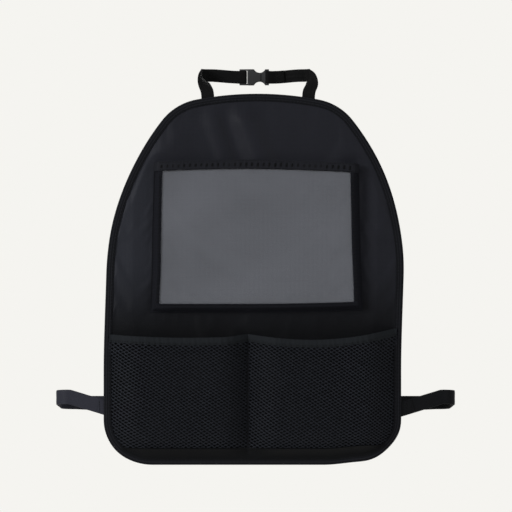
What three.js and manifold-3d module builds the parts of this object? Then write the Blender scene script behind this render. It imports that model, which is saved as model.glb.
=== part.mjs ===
// A car seat back organizer: a round-shouldered cloth panel with a bound edge, a windowed tablet pocket, two
// net pockets with elastic tops, a buckled strap for the headrest posts and an elastic strap for the seat.
//
// Millimetres. +X is to the right of someone who faces the pockets, +Y goes from them into the seat and
// +Z is up. The origin is the middle of the panel's back face, which lies on the seat.
import * as THREE from "three";
import { mergeVertices } from "three/addons/utils/BufferGeometryUtils.js";
import Module from "manifold-3d";

// Sewn layers and fitted pieces lie this far apart.
const CLEARANCE = 0.3;

// Back panel: a crown arc, two shoulder arcs, two flank arcs, straight sides and round bottom corners.
const PANEL_WIDTH = 348;
const PANEL_HEIGHT = 434;
const PANEL_THICKNESS = 2;
const RIM_THICKNESS = 0.8;
const CROWN_RADIUS = 380;
const CROWN_HALF_WIDTH = 72;
const SHOULDER_RADIUS = 66;
const FLANK_RADIUS = 293;
const CORNER_RADIUS = 53;

// Edge binding: one tape folded over the rim all round.
const BINDING_WIDTH = 9;
const BINDING_THICKNESS = 0.6;

// Tablet pocket: a clear film held by a tape on three sides, with a taped mouth at the top.
const WINDOW_WIDTH = 224;
const WINDOW_HEIGHT = 155;
const WINDOW_CENTRE_Z = 49;
const WINDOW_TAPER = 0.013;
const POCKET_DEPTH = 10;
const FILM_THICKNESS = 0.5;
const FILM_OVERLAP = 3.5;
const TAPE_THICKNESS = 0.8;
const TAPE_FACE_WIDTH = 4;
const TAPE_SLOPE_WIDTH = 3.5;
const TAPE_FLANGE_WIDTH = 3;
const TAPE_TOP_RISE = 5.5;
const MOUTH_TAPE_HEIGHT = 11;
const CLOSURE_LENGTH = 200;
const CLOSURE_HEIGHT = 6.5;
const CLOSURE_THICKNESS = 0.8;

// Net pockets: two nets with elastic tops, and one cloth band along the bottom of both.
const NET_THICKNESS = 0.8;
const DIVIDER_X = -9;
const BAND_TOP_RISE = 20;
const ELASTIC_HEIGHT = 9;
const ELASTIC_THICKNESS = 0.6;
const ELASTIC_BLEND = 24;
const POCKET_COLUMNS = 14;
const NET_ROWS = 8;
const BAND_COLUMNS = 36;
const BAND_ROWS = 3;
const BOTTOM_RISE_LENGTH = 34;
const LEFT_POCKET = { depth: 17, sideRise: 32, outerTop: 148, innerTop: 146.5, sag: 2.5 };
const RIGHT_POCKET = { depth: 22, sideRise: 38, outerTop: 155, innerTop: 148.5, sag: 9 };
const GAP_PITCH_X = 25;
const GAP_PITCH_Z = 15.5;
const GAP_STRAND = 3;
const GAP_STRAND_ACROSS = 4.8;
const GAP_MARGIN = 2.5;

// Headrest strap: webbing from the panel's top, round the outside of both posts, to a buckle between them.
const WEBBING_WIDTH = 15;
const WEBBING_THICKNESS = 1.2;
const POST_SPACING = 112;
const POST_DIAMETER = 12;
const POST_CLEARANCE = 1;
const POST_SETBACK = 30;
const LEFT_STRAP_SEAT_X = 56;
const RIGHT_STRAP_SEAT_X = 62;
const STRAP_RISE = 22;
const STRAP_BULGE = 4;
const TAIL_LENGTH = 36;
const TAIL_STEP_LENGTH = 5;
const SEWN_END_LENGTH = 14;

// Side-release buckle, measured along the strap from its middle.
const BAR_RADIUS = 1.2;
const BODY_BEVEL = 0.7;
const RAIL_BEVEL = 0.4;
const BUCKLE_WIDTH = 18.5;
const BUCKLE_THICKNESS = 7;
const BUCKLE_WALL = 1.2;
const LADDER_THICKNESS = 3.6;
const SLOT_WIDTH = 15.8;
const LADDER_OUTER_BAR_X = -17.7;
const LADDER_INNER_BAR_X = -13;
const SOCKET_BACK_X = -9.6;
const SOCKET_MOUTH_X = 6;
const WAIST_X = 4.75;
const WAIST_LENGTH = 13.5;
const WAIST_DEPTH = 4.2;
const WAIST_STEPS = 5;
const LATCH_WINDOW_X = -8;
const LATCH_WINDOW_LENGTH = 5.4;
const PLUG_BAR_X = 14.5;
const PLUG_SLOT_X = 11.5;
const ARM_TIP_X = -8.1;
const ARM_INNER_Z = 2.1;
const ARM_OUTER_Z = 3.6;
const TONGUE_HALF_WIDTH = 1.1;

// Seat strap: one elastic from edge to edge, round the seat.
const ELASTIC_STRAP_WIDTH = 17;
const ELASTIC_STRAP_THICKNESS = 1.2;
const SEAT_STRAP_SPAN = 470;
const SEAT_STRAP_DEPTH = 110;
const SEAT_STRAP_BEND = 16;
const SEAT_STRAP_PANEL_RISE = 66;
const SEAT_STRAP_OUTER_RISE = 79;
const SEAT_STRAP_FAR_RISE = 66;

const HALF_WIDTH = PANEL_WIDTH / 2;
const TOP_Z = PANEL_HEIGHT / 2;
const BOTTOM_Z = -PANEL_HEIGHT / 2;
const QUARTER_TURN = Math.PI / 2;

const wasm = await Module();
wasm.setup();

// A closed three.js geometry as a manifold solid.
function solidOf(geometry) {
  const bare = geometry.clone();
  bare.deleteAttribute("normal");
  bare.deleteAttribute("uv");
  const merged = mergeVertices(bare, 1e-4);
  return new wasm.Manifold(
    new wasm.Mesh({
      numProp: 3,
      vertProperties: merged.attributes.position.array,
      triVerts: new Uint32Array(merged.index.array),
    }),
  );
}

// A manifold solid as a three.js geometry.
function geometryOf(solid) {
  const mesh = solid.getMesh();
  const positions = new Float32Array(mesh.numVert * 3);
  for (let i = 0; i < mesh.numVert; i++) {
    positions.set(mesh.vertProperties.subarray(i * mesh.numProp, i * mesh.numProp + 3), i * 3);
  }
  const geometry = new THREE.BufferGeometry();
  geometry.setAttribute("position", new THREE.BufferAttribute(positions, 3));
  geometry.setIndex(new THREE.BufferAttribute(mesh.triVerts, 1));
  geometry.computeVertexNormals();
  return geometry;
}

function joined(...geometries) {
  return geometryOf(geometries.map(solidOf).reduce((a, b) => a.add(b)));
}

function cutBy(geometry, ...cutters) {
  return geometryOf(cutters.map(solidOf).reduce((a, b) => a.subtract(b), solidOf(geometry)));
}

// A geometry from points and triangles, with its faces turned outwards.
function closedGeometry(points, triangles) {
  let volume = 0;
  for (const [a, b, c] of triangles) {
    volume += points[a].dot(points[b].clone().cross(points[c])) / 6;
  }
  const outward = volume > 0 ? triangles : triangles.map(([a, b, c]) => [a, c, b]);
  const geometry = new THREE.BufferGeometry().setFromPoints(points);
  geometry.setIndex(outward.flat());
  geometry.computeVertexNormals();
  return geometry;
}

// A flat outline in X and Z given a thickness along Y, from y = 0 towards the viewer.
function slab(outline, thickness) {
  const options = { depth: thickness, bevelEnabled: false };
  return new THREE.ExtrudeGeometry(new THREE.Shape(outline), options).rotateX(QUARTER_TURN);
}

// The same, centred on y = 0 and with small bevels along its edges, as a moulding has.
function moulded(outline, thickness, bevel) {
  const options = {
    depth: thickness - 2 * bevel,
    bevelThickness: bevel,
    bevelSize: bevel,
    bevelOffset: -bevel,
    bevelSegments: 1,
  };
  const geometry = new THREE.ExtrudeGeometry(new THREE.Shape(outline), options);
  return geometry.rotateX(QUARTER_TURN).translate(0, thickness / 2 - bevel, 0);
}

function rectangle(x0, x1, z0, z1) {
  return [
    new THREE.Vector2(x0, z0),
    new THREE.Vector2(x1, z0),
    new THREE.Vector2(x1, z1),
    new THREE.Vector2(x0, z1),
  ];
}

// Sweeps a counterclockwise (u, v) profile through frames of { at, u, v }, closed at both ends.
function sweep(profile, frames) {
  const points = [];
  for (const frame of frames) {
    for (const p of profile) {
      points.push(frame.at.clone().addScaledVector(frame.u, p.x).addScaledVector(frame.v, p.y));
    }
  }
  const n = profile.length;
  const triangles = [];
  for (let i = 0; i + 1 < frames.length; i++) {
    for (let k = 0; k < n; k++) {
      const a = i * n + k;
      const b = i * n + ((k + 1) % n);
      triangles.push([a, b, b + n], [a, b + n, a + n]);
    }
  }
  const last = (frames.length - 1) * n;
  for (const [p, q, r] of THREE.ShapeUtils.triangulateShape(profile, [])) {
    triangles.push([p, r, q], [last + p, last + q, last + r]);
  }
  return closedGeometry(points, triangles);
}

// Frames of a flat strap along points, with its width along the given directions.
function strapFrames(points, widths) {
  return points.map((at, i) => {
    const before = points[Math.max(i - 1, 0)];
    const after = points[Math.min(i + 1, points.length - 1)];
    const along = after.clone().sub(before).normalize();
    const v = widths[i].clone().addScaledVector(along, -widths[i].dot(along)).normalize();
    return { at, u: v.clone().cross(along), v };
  });
}

function strapSection(width, thickness) {
  return rectangle(-thickness / 2, thickness / 2, -width / 2, width / 2);
}

// Joins closed loops of equal length into a ring whose section has one corner in each loop.
function ring(loops) {
  const n = loops[0].length;
  const triangles = [];
  loops.forEach((loop, i) => {
    const next = ((i + 1) % loops.length) * n;
    for (let k = 0; k < n; k++) {
      const l = (k + 1) % n;
      triangles.push([i * n + k, next + k, next + l], [i * n + k, next + l, i * n + l]);
    }
  });
  return closedGeometry(loops.flat(), triangles);
}

// A sheet with a thickness along Y about middle(s, t), where s and t run from 0 to 1.
function clothSheet(across, up, thickness, middle) {
  const points = [];
  for (const side of [-1, 1]) {
    for (let j = 0; j <= up; j++) {
      for (let i = 0; i <= across; i++) {
        const p = middle(i / across, j / up);
        p.y += (side * thickness) / 2;
        points.push(p);
      }
    }
  }
  const at = (i, j) => j * (across + 1) + i;
  const behind = (across + 1) * (up + 1);
  const triangles = [];
  for (let j = 0; j < up; j++) {
    for (let i = 0; i < across; i++) {
      const [a, b, c, d] = [at(i, j), at(i + 1, j), at(i + 1, j + 1), at(i, j + 1)];
      triangles.push([a, b, c], [a, c, d]);
      triangles.push([a + behind, c + behind, b + behind], [a + behind, d + behind, c + behind]);
    }
  }
  const border = [];
  for (let i = 0; i < across; i++) border.push(at(i, 0));
  for (let j = 0; j < up; j++) border.push(at(across, j));
  for (let i = across; i > 0; i--) border.push(at(i, up));
  for (let j = up; j > 0; j--) border.push(at(0, j));
  border.forEach((a, i) => {
    const b = border[(i + 1) % border.length];
    triangles.push([a, b + behind, b], [a, a + behind, b + behind]);
  });
  return closedGeometry(points, triangles);
}

// The panel's outline, inset from the outer edge of its binding, clockwise from the top middle.
function panelOutline(inset) {
  const crownFall = Math.asin(CROWN_HALF_WIDTH / CROWN_RADIUS);
  const shoulderSine =
    (HALF_WIDTH - CROWN_HALF_WIDTH + SHOULDER_RADIUS * Math.sin(crownFall) - FLANK_RADIUS) /
    (SHOULDER_RADIUS - FLANK_RADIUS);
  const shoulderFall = Math.asin(shoulderSine);
  const crown = new THREE.Vector2(0, TOP_Z - CROWN_RADIUS);
  const stepIn = (centre, by, fall) =>
    new THREE.Vector2(centre.x + by * Math.sin(fall), centre.y + by * Math.cos(fall));
  const shoulder = stepIn(crown, CROWN_RADIUS - SHOULDER_RADIUS, crownFall);
  const flank = stepIn(shoulder, SHOULDER_RADIUS - FLANK_RADIUS, shoulderFall);
  const corner = new THREE.Vector2(HALF_WIDTH - CORNER_RADIUS, BOTTOM_Z + CORNER_RADIUS);
  const right = [];
  const addArc = (centre, radius, from, to, steps) => {
    for (let i = 1; i <= steps; i++) {
      right.push(stepIn(centre, radius - inset, from + ((to - from) * i) / steps));
    }
  };
  addArc(crown, CROWN_RADIUS, 0, crownFall, 4);
  addArc(shoulder, SHOULDER_RADIUS, crownFall, shoulderFall, 6);
  addArc(flank, FLANK_RADIUS, shoulderFall, QUARTER_TURN, 7);
  right.push(stepIn(corner, CORNER_RADIUS - inset, QUARTER_TURN));
  addArc(corner, CORNER_RADIUS, QUARTER_TURN, 2 * QUARTER_TURN, 8);
  const left = right.map((p) => new THREE.Vector2(-p.x, p.y)).reverse();
  return [new THREE.Vector2(0, TOP_Z - inset), ...right, ...left];
}

// Back panel: full cloth inside, thinned along the rim where the binding grips it.
function backPanel() {
  const rimInset = BINDING_THICKNESS + CLEARANCE;
  const rim = slab(panelOutline(rimInset), RIM_THICKNESS).translate(0, -rimInset, 0);
  return joined(slab(panelOutline(BINDING_WIDTH + CLEARANCE), PANEL_THICKNESS), rim);
}

// Edge binding: a C section whose back leg is flush with the panel's back face.
function edgeBinding() {
  const wall = BINDING_THICKNESS;
  const front = -(2 * wall + RIM_THICKNESS + 2 * CLEARANCE);
  const section = [
    [0, front],
    [0, 0],
    [BINDING_WIDTH, 0],
    [BINDING_WIDTH, -wall],
    [wall, -wall],
    [wall, front + wall],
    [BINDING_WIDTH, front + wall],
    [BINDING_WIDTH, front],
  ];
  return ring(
    section.map(([inset, y]) => panelOutline(inset).map((p) => new THREE.Vector3(p.x, y, p.y))),
  );
}

// The tablet pocket's sides lean out a little towards the bottom.
function tapered(geometry) {
  const position = geometry.getAttribute("position");
  for (let i = 0; i < position.count; i++) {
    const lean = 1 - (WINDOW_TAPER * position.getZ(i)) / (WINDOW_HEIGHT / 2);
    position.setX(i, position.getX(i) * lean);
  }
  return geometry;
}

const FILM_BACK_Y = -POCKET_DEPTH;
const TAPE_BACK_Y = FILM_BACK_Y - FILM_THICKNESS - CLEARANCE;

// Clear film, with its edges behind the tapes.
function windowFilm() {
  const halfWidth = WINDOW_WIDTH / 2 + FILM_OVERLAP;
  const halfHeight = WINDOW_HEIGHT / 2 + FILM_OVERLAP;
  const film = slab(rectangle(-halfWidth, halfWidth, -halfHeight, halfHeight), FILM_THICKNESS);
  return tapered(film.translate(0, FILM_BACK_Y, 0));
}

// One tape down the left side, along the bottom and up the right, mitred at the corners. Its face lies on
// the film, its slope is the pocket's side wall, and its flange is sewn to the panel.
function windowTape() {
  const slopeStart = TAPE_FACE_WIDTH;
  const slopeEnd = slopeStart + TAPE_SLOPE_WIDTH;
  const outer = slopeEnd + TAPE_FLANGE_WIDTH;
  const t = TAPE_THICKNESS;
  const section = [
    [0, TAPE_BACK_Y],
    [0, TAPE_BACK_Y - t],
    [slopeStart + t, TAPE_BACK_Y - t],
    [slopeEnd + t, -CLEARANCE - t],
    [outer, -CLEARANCE - t],
    [outer, -CLEARANCE],
    [slopeEnd, -CLEARANCE],
    [slopeStart, TAPE_BACK_Y],
  ].map(([out, y]) => new THREE.Vector2(out, y));
  const x = WINDOW_WIDTH / 2;
  const top = WINDOW_HEIGHT / 2 + TAPE_TOP_RISE;
  const bottom = -WINDOW_HEIGHT / 2;
  const frame = (px, pz, ux, uz) => ({
    at: new THREE.Vector3(px, 0, pz),
    u: new THREE.Vector3(ux, 0, uz),
    v: new THREE.Vector3(0, 1, 0),
  });
  return tapered(
    sweep(section, [
      frame(-x, top, -1, 0),
      frame(-x, bottom, -1, -1),
      frame(x, bottom, 1, -1),
      frame(x, top, 1, 0),
    ]),
  );
}

// The mouth's tape stands off the panel, so that the tablet goes in behind it. Its ends follow the side
// tapes down to the panel, on top of them.
function windowMouthTape() {
  const t = TAPE_THICKNESS;
  const over = t + CLEARANCE + t / 2;
  const slopeStart = WINDOW_WIDTH / 2 + TAPE_FACE_WIDTH;
  const z = (WINDOW_HEIGHT + MOUTH_TAPE_HEIGHT) / 2;
  const half = [
    new THREE.Vector3(slopeStart + over, TAPE_BACK_Y - over, z),
    new THREE.Vector3(slopeStart + TAPE_SLOPE_WIDTH + over, -CLEARANCE - over, z),
    new THREE.Vector3(slopeStart + TAPE_SLOPE_WIDTH + TAPE_FLANGE_WIDTH + t, -CLEARANCE - over, z),
  ];
  const mirrored = half.map((p) => new THREE.Vector3(-p.x, p.y, p.z)).reverse();
  const points = [...mirrored, ...half];
  const upright = points.map(() => new THREE.Vector3(0, 0, 1));
  return tapered(sweep(strapSection(MOUTH_TAPE_HEIGHT, t), strapFrames(points, upright)));
}

// Hook and loop strips face each other across the mouth, just above the film's edge.
function closureStrip(frontY) {
  const bottom = WINDOW_HEIGHT / 2 + FILM_OVERLAP + CLEARANCE;
  const half = CLOSURE_LENGTH / 2;
  const outline = rectangle(-half, half, bottom, bottom + CLOSURE_HEIGHT);
  return slab(outline, CLOSURE_THICKNESS).translate(0, frontY + CLOSURE_THICKNESS, 0);
}

// Where the pockets' cloth meets the binding, along the bottom.
const POCKET_INSET = BINDING_WIDTH + CLEARANCE;
const POCKET_SIDE_X = HALF_WIDTH - POCKET_INSET;

function pocketFloorZ(x) {
  const cornerX = HALF_WIDTH - CORNER_RADIUS;
  const radius = CORNER_RADIUS - POCKET_INSET;
  const past = Math.min(Math.max(Math.abs(x) - cornerX, 0), radius);
  return BOTTOM_Z + CORNER_RADIUS - Math.sqrt(radius * radius - past * past);
}

const ease = (t) => Math.sin(QUARTER_TURN * Math.min(Math.max(t, 0), 1));

// A pocket's edges in X: its outer side lies along the binding and its inner side along the divider seam.
function pocketSpan(side) {
  const outer = side * POCKET_SIDE_X;
  const inner = DIVIDER_X + side * CLEARANCE;
  return { from: Math.min(outer, inner), to: Math.max(outer, inner), outer, inner };
}

// The middle of a pocket's elastic, which sags between its two sewn ends.
function elasticZ(pocket, side, x) {
  const { outer, inner } = pocketSpan(side);
  const s = (x - inner) / (outer - inner);
  const straight = pocket.innerTop + (pocket.outerTop - pocket.innerTop) * s;
  return BOTTOM_Z + straight - pocket.sag * Math.sin(Math.PI * s);
}

// The middle surface of the pocket cloth: it swells out of its seams, and towards the top it stands off the
// panel by the elastic's back leg as well. Inside the elastic it is upright.
function pocketY(pocket, side, x, z) {
  const { from, to } = pocketSpan(side);
  const elasticFoot = elasticZ(pocket, side, x) - ELASTIC_HEIGHT / 2;
  const height = Math.min(z, elasticFoot);
  const swell =
    ease((x - from) / pocket.sideRise) *
    ease((to - x) / pocket.sideRise) *
    ease((height - pocketFloorZ(x)) / BOTTOM_RISE_LENGTH);
  const lift = ease((height - elasticFoot + ELASTIC_BLEND) / ELASTIC_BLEND);
  const standOff = CLEARANCE + NET_THICKNESS / 2 + lift * (ELASTIC_THICKNESS + CLEARANCE);
  return -(PANEL_THICKNESS + standOff + pocket.depth * swell);
}

// The net and its elastic bend at the same places across the pocket, closer together near the seams.
function pocketX(side, s) {
  const { from, to } = pocketSpan(side);
  const spread = (1 - Math.cos(Math.PI * s)) / 2;
  return from + ((to - from) * (s + spread)) / 2;
}

const BAND_TOP_Z = BOTTOM_Z + BAND_TOP_RISE;

// A net pocket's front, from the bottom band up into its elastic, with diamond gaps in staggered rows.
function pocketNet(pocket, side) {
  const { from, to } = pocketSpan(side);
  const floorZ = (x) => Math.max(pocketFloorZ(x), BAND_TOP_Z + CLEARANCE);
  const sheet = clothSheet(POCKET_COLUMNS, NET_ROWS, NET_THICKNESS, (s, t) => {
    const x = pocketX(side, s);
    const elasticFoot = elasticZ(pocket, side, x) - ELASTIC_HEIGHT / 2;
    const below = Math.min((t * NET_ROWS) / (NET_ROWS - 1), 1);
    const inside = Math.max(t * NET_ROWS - (NET_ROWS - 1), 0);
    const z =
      floorZ(x) +
      (elasticFoot - floorZ(x)) * below +
      (ELASTIC_HEIGHT - ELASTIC_THICKNESS - CLEARANCE) * inside;
    return new THREE.Vector3(x, pocketY(pocket, side, x, z), z);
  });
  const halfX = (GAP_PITCH_X - GAP_STRAND_ACROSS) / 2;
  const halfZ = (GAP_PITCH_Z - GAP_STRAND) / 2;
  const reach = PANEL_THICKNESS + pocket.depth + ELASTIC_HEIGHT;
  const gaps = [];
  const columns = Math.floor((to - from) / (GAP_PITCH_X / 2));
  const levels = Math.floor(pocket.outerTop / (GAP_PITCH_Z / 2));
  for (let i = 0; i <= columns; i++) {
    for (let j = 0; j <= levels; j++) {
      if ((i + j) % 2) continue;
      const x = (from + to) / 2 + (i - columns / 2) * (GAP_PITCH_X / 2);
      const z = BAND_TOP_Z + j * (GAP_PITCH_Z / 2);
      const roof = Math.min(...[-1, 0, 1].map((k) => elasticZ(pocket, side, x + k * halfX)));
      const fits =
        x - halfX > from + GAP_MARGIN &&
        x + halfX < to - GAP_MARGIN &&
        z + halfZ < roof - ELASTIC_HEIGHT / 2 - GAP_MARGIN &&
        [-1, 0, 1].every((k) => z - halfZ * (k === 0) > floorZ(x + k * halfX) + GAP_MARGIN);
      if (!fits) continue;
      const diamond = [
        new THREE.Vector2(x - halfX, z),
        new THREE.Vector2(x, z - halfZ),
        new THREE.Vector2(x + halfX, z),
        new THREE.Vector2(x, z + halfZ),
      ];
      gaps.push(slab(diamond, reach));
    }
  }
  return cutBy(sheet, ...gaps);
}

// An elastic folded over its net's top edge, open downwards.
function pocketElastic(pocket, side) {
  const slot = NET_THICKNESS / 2 + CLEARANCE;
  const outer = slot + ELASTIC_THICKNESS;
  const h = ELASTIC_HEIGHT / 2;
  const section = [
    [-outer, -h],
    [-slot, -h],
    [-slot, h - ELASTIC_THICKNESS],
    [slot, h - ELASTIC_THICKNESS],
    [slot, -h],
    [outer, -h],
    [outer, h],
    [-outer, h],
  ].map(([y, z]) => new THREE.Vector2(y, z));
  const frames = [];
  for (let i = 0; i <= POCKET_COLUMNS; i++) {
    const x = pocketX(side, i / POCKET_COLUMNS);
    const z = elasticZ(pocket, side, x);
    frames.push({
      at: new THREE.Vector3(x, pocketY(pocket, side, x, z), z),
      u: new THREE.Vector3(0, 1, 0),
      v: new THREE.Vector3(0, 0, 1),
    });
  }
  return sweep(section, frames);
}

// The cloth band under both nets, from the binding up to the nets' lower edges.
function pocketBand() {
  const radius = CORNER_RADIUS - POCKET_INSET;
  const fall = CORNER_RADIUS - (BAND_TOP_RISE - CLEARANCE * 4);
  const reach = HALF_WIDTH - CORNER_RADIUS + Math.sqrt(radius * radius - fall * fall);
  return clothSheet(BAND_COLUMNS, BAND_ROWS, NET_THICKNESS, (s, t) => {
    const x = -reach + 2 * reach * s;
    const z = pocketFloorZ(x) + (BAND_TOP_Z - pocketFloorZ(x)) * t;
    const onLeft = x < DIVIDER_X;
    const y = onLeft ? pocketY(LEFT_POCKET, -1, x, z) : pocketY(RIGHT_POCKET, 1, x, z);
    return new THREE.Vector3(x, y, z);
  });
}

const STRAP_Z = TOP_Z + STRAP_RISE;
const WRAP_RADIUS = POST_DIAMETER / 2 + POST_CLEARANCE + WEBBING_THICKNESS / 2;
const POST_X = POST_SPACING / 2;
const FRONT_LAYER_Y = POST_SETBACK + WRAP_RADIUS;
const TURN_RADIUS = BAR_RADIUS + CLEARANCE + WEBBING_THICKNESS / 2;
const BUCKLE_Y = FRONT_LAYER_Y + TURN_RADIUS;
const BACK_LAYER_Y = BUCKLE_Y + TURN_RADIUS;
const LAYER_PITCH = WEBBING_THICKNESS + CLEARANCE;

// The strap from its sewn end on the panel's back to the middle of the far side of a headrest post. Each
// station gives its distance from the panel's centre line, its share of the way back and up, and its twist.
function strapRise(side) {
  const backY = CLEARANCE + WEBBING_THICKNESS / 2;
  const outerX = POST_X + WRAP_RADIUS;
  const seatX = side < 0 ? LEFT_STRAP_SEAT_X : RIGHT_STRAP_SEAT_X;
  const midX = outerX + (seatX - POST_X) / 2 - STRAP_BULGE / 4;
  const sewnLength = BINDING_WIDTH / STRAP_RISE;
  const stations = [
    { x: seatX, back: 0, up: -sewnLength, twist: 0 },
    { x: seatX, back: 0, up: -sewnLength / 3, twist: 0 },
    { x: seatX + STRAP_BULGE / 4, back: 0.06, up: 0.16, twist: 0 },
    { x: seatX + STRAP_BULGE, back: 0.28, up: 0.46, twist: 0.12 },
    { x: midX, back: 0.54, up: 0.76, twist: 0.55 },
    { x: outerX, back: 0.79, up: 0.94, twist: 0.93 },
    { x: outerX, back: 1, up: 1, twist: 1 },
  ].map((s) => ({ ...s, y: backY + (POST_SETBACK - backY) * s.back, z: TOP_Z + STRAP_RISE * s.up }));
  const points = stations.map((s) => new THREE.Vector3(side * s.x, s.y, s.z));
  const twists = stations.map((s) => new THREE.Vector3(s.twist, 0, 0));
  const route = new THREE.CatmullRomCurve3(points);
  const twist = new THREE.CatmullRomCurve3(twists);
  const steps = 20;
  const rise = { points: [], widths: [] };
  for (let i = 0; i <= steps; i++) {
    const turn = QUARTER_TURN * twist.getPoint(i / steps).x;
    rise.points.push(route.getPoint(i / steps));
    rise.widths.push(new THREE.Vector3(side * Math.cos(turn), 0, Math.sin(turn)));
  }
  const bendSteps = 6;
  for (let i = 1; i <= bendSteps; i++) {
    const a = (QUARTER_TURN * i) / bendSteps;
    const x = side * (POST_X + WRAP_RADIUS * Math.cos(a));
    const y = POST_SETBACK + WRAP_RADIUS * Math.sin(a);
    rise.points.push(new THREE.Vector3(x, y, STRAP_Z));
  }
  return rise;
}

// A half turn of webbing round a bar, from one face of the buckle to the other.
function turnRoundBar(barX, side, startsInFront) {
  const points = [];
  const steps = 6;
  for (let i = 0; i <= steps; i++) {
    const a = -QUARTER_TURN + (Math.PI * i) / steps;
    const y = BUCKLE_Y + TURN_RADIUS * Math.sin(a) * (startsInFront ? 1 : -1);
    points.push(new THREE.Vector3(barX - side * TURN_RADIUS * Math.cos(a), y, STRAP_Z));
  }
  return points;
}

function headStrap(side, turn, end) {
  const rise = strapRise(side);
  const level = [...turn, ...end.map(([x, y]) => new THREE.Vector3(x, y, STRAP_Z))];
  const points = [...rise.points, ...level];
  const widths = [...rise.widths];
  while (widths.length < points.length) widths.push(new THREE.Vector3(0, 0, 1));
  return sweep(strapSection(WEBBING_WIDTH, WEBBING_THICKNESS), strapFrames(points, widths));
}

// The left strap runs over the ladder's bars, turns round the inner one and ends in a tail behind itself.
function leftHeadStrap() {
  const tailY = FRONT_LAYER_Y + LAYER_PITCH;
  const clearOfLadder = LADDER_OUTER_BAR_X - BAR_RADIUS - CLEARANCE;
  return headStrap(-1, turnRoundBar(LADDER_INNER_BAR_X, -1, true), [
    [clearOfLadder, BACK_LAYER_Y],
    [clearOfLadder - TAIL_STEP_LENGTH, tailY],
    [LADDER_INNER_BAR_X - TAIL_LENGTH, tailY],
  ]);
}

// The right strap turns round the plug's bar and its end is sewn down on the front of itself.
function rightHeadStrap() {
  const sewnY = BACK_LAYER_Y - LAYER_PITCH;
  const clearOfBar = PLUG_BAR_X + BAR_RADIUS;
  const bend = clearOfBar + 2 * TURN_RADIUS;
  const end = bend + SEWN_END_LENGTH;
  const straighten = new THREE.Vector3(end + 2, BACK_LAYER_Y, STRAP_Z);
  return headStrap(1, [straighten, ...turnRoundBar(PLUG_BAR_X, 1, false)], [
    [clearOfBar, BUCKLE_Y - TURN_RADIUS],
    [bend, sewnY],
    [end, sewnY],
  ]);
}

// The buckle's upper edge where it is waisted, so that fingers can squeeze its arms: an arc of a circle.
function waist(from, to) {
  const half = WAIST_LENGTH / 2;
  const radius = (half * half + WAIST_DEPTH * WAIST_DEPTH) / (2 * WAIST_DEPTH);
  const centreZ = BUCKLE_WIDTH / 2 - WAIST_DEPTH + radius;
  const edge = [];
  for (let i = 0; i <= WAIST_STEPS; i++) {
    const x = from + ((to - from) * i) / WAIST_STEPS;
    edge.push(new THREE.Vector2(x, centreZ - Math.sqrt(radius * radius - (x - WAIST_X) ** 2)));
  }
  return edge;
}

// An upper edge from back to front and its mirror image, closed at the back by the given corner.
function waisted(edge, backX) {
  const upper = [new THREE.Vector2(backX, BUCKLE_WIDTH / 2), ...edge];
  return [...upper, ...upper.map((p) => new THREE.Vector2(p.x, -p.y)).reverse()];
}

function bar(x) {
  const length = (SLOT_WIDTH + BUCKLE_WIDTH) / 2;
  const cylinder = new THREE.CylinderGeometry(BAR_RADIUS, BAR_RADIUS, length, 10);
  return cylinder.rotateX(QUARTER_TURN).translate(x, 0, 0);
}

// The buckle's socket: a ladder of two bars for the webbing, and a hollow body with a latch window on each
// side, open at its narrow mouth.
function buckleSocket() {
  const half = BUCKLE_WIDTH / 2;
  const edge = waist(WAIST_X - WAIST_LENGTH / 2, SOCKET_MOUTH_X);
  const mouth = edge[WAIST_STEPS].y;
  const ladderEnd = LADDER_OUTER_BAR_X - BAR_RADIUS;
  const body = moulded(waisted(edge, SOCKET_BACK_X), BUCKLE_THICKNESS, BODY_BEVEL);
  const opening = rectangle(
    ladderEnd - CLEARANCE,
    SOCKET_BACK_X,
    -SLOT_WIDTH / 2,
    SLOT_WIDTH / 2,
  );
  const rails = cutBy(
    moulded(rectangle(ladderEnd, SOCKET_BACK_X + 1, -half, half), LADDER_THICKNESS, RAIL_BEVEL),
    slab(opening, 2 * LADDER_THICKNESS).translate(0, LADDER_THICKNESS, 0),
  );
  const inner = half - BUCKLE_WALL;
  const throat = mouth - BUCKLE_WALL;
  const hollow = slab(
    [
      new THREE.Vector2(SOCKET_BACK_X + BUCKLE_WALL, -inner),
      new THREE.Vector2(LATCH_WINDOW_X + LATCH_WINDOW_LENGTH, -inner),
      new THREE.Vector2(LATCH_WINDOW_X + LATCH_WINDOW_LENGTH, -throat),
      new THREE.Vector2(SOCKET_MOUTH_X + 1, -throat),
      new THREE.Vector2(SOCKET_MOUTH_X + 1, throat),
      new THREE.Vector2(LATCH_WINDOW_X + LATCH_WINDOW_LENGTH, throat),
      new THREE.Vector2(LATCH_WINDOW_X + LATCH_WINDOW_LENGTH, inner),
      new THREE.Vector2(SOCKET_BACK_X + BUCKLE_WALL, inner),
    ],
    BUCKLE_THICKNESS - 2 * BUCKLE_WALL,
  ).translate(0, BUCKLE_THICKNESS / 2 - BUCKLE_WALL, 0);
  const windows = slab(
    rectangle(LATCH_WINDOW_X, LATCH_WINDOW_X + LATCH_WINDOW_LENGTH, -half - 1, half + 1),
    BUCKLE_THICKNESS - 2 * BUCKLE_WALL,
  ).translate(0, BUCKLE_THICKNESS / 2 - BUCKLE_WALL, 0);
  const shell = joined(cutBy(body, hollow, windows), rails);
  return joined(shell, bar(LADDER_OUTER_BAR_X), bar(LADDER_INNER_BAR_X));
}

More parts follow.
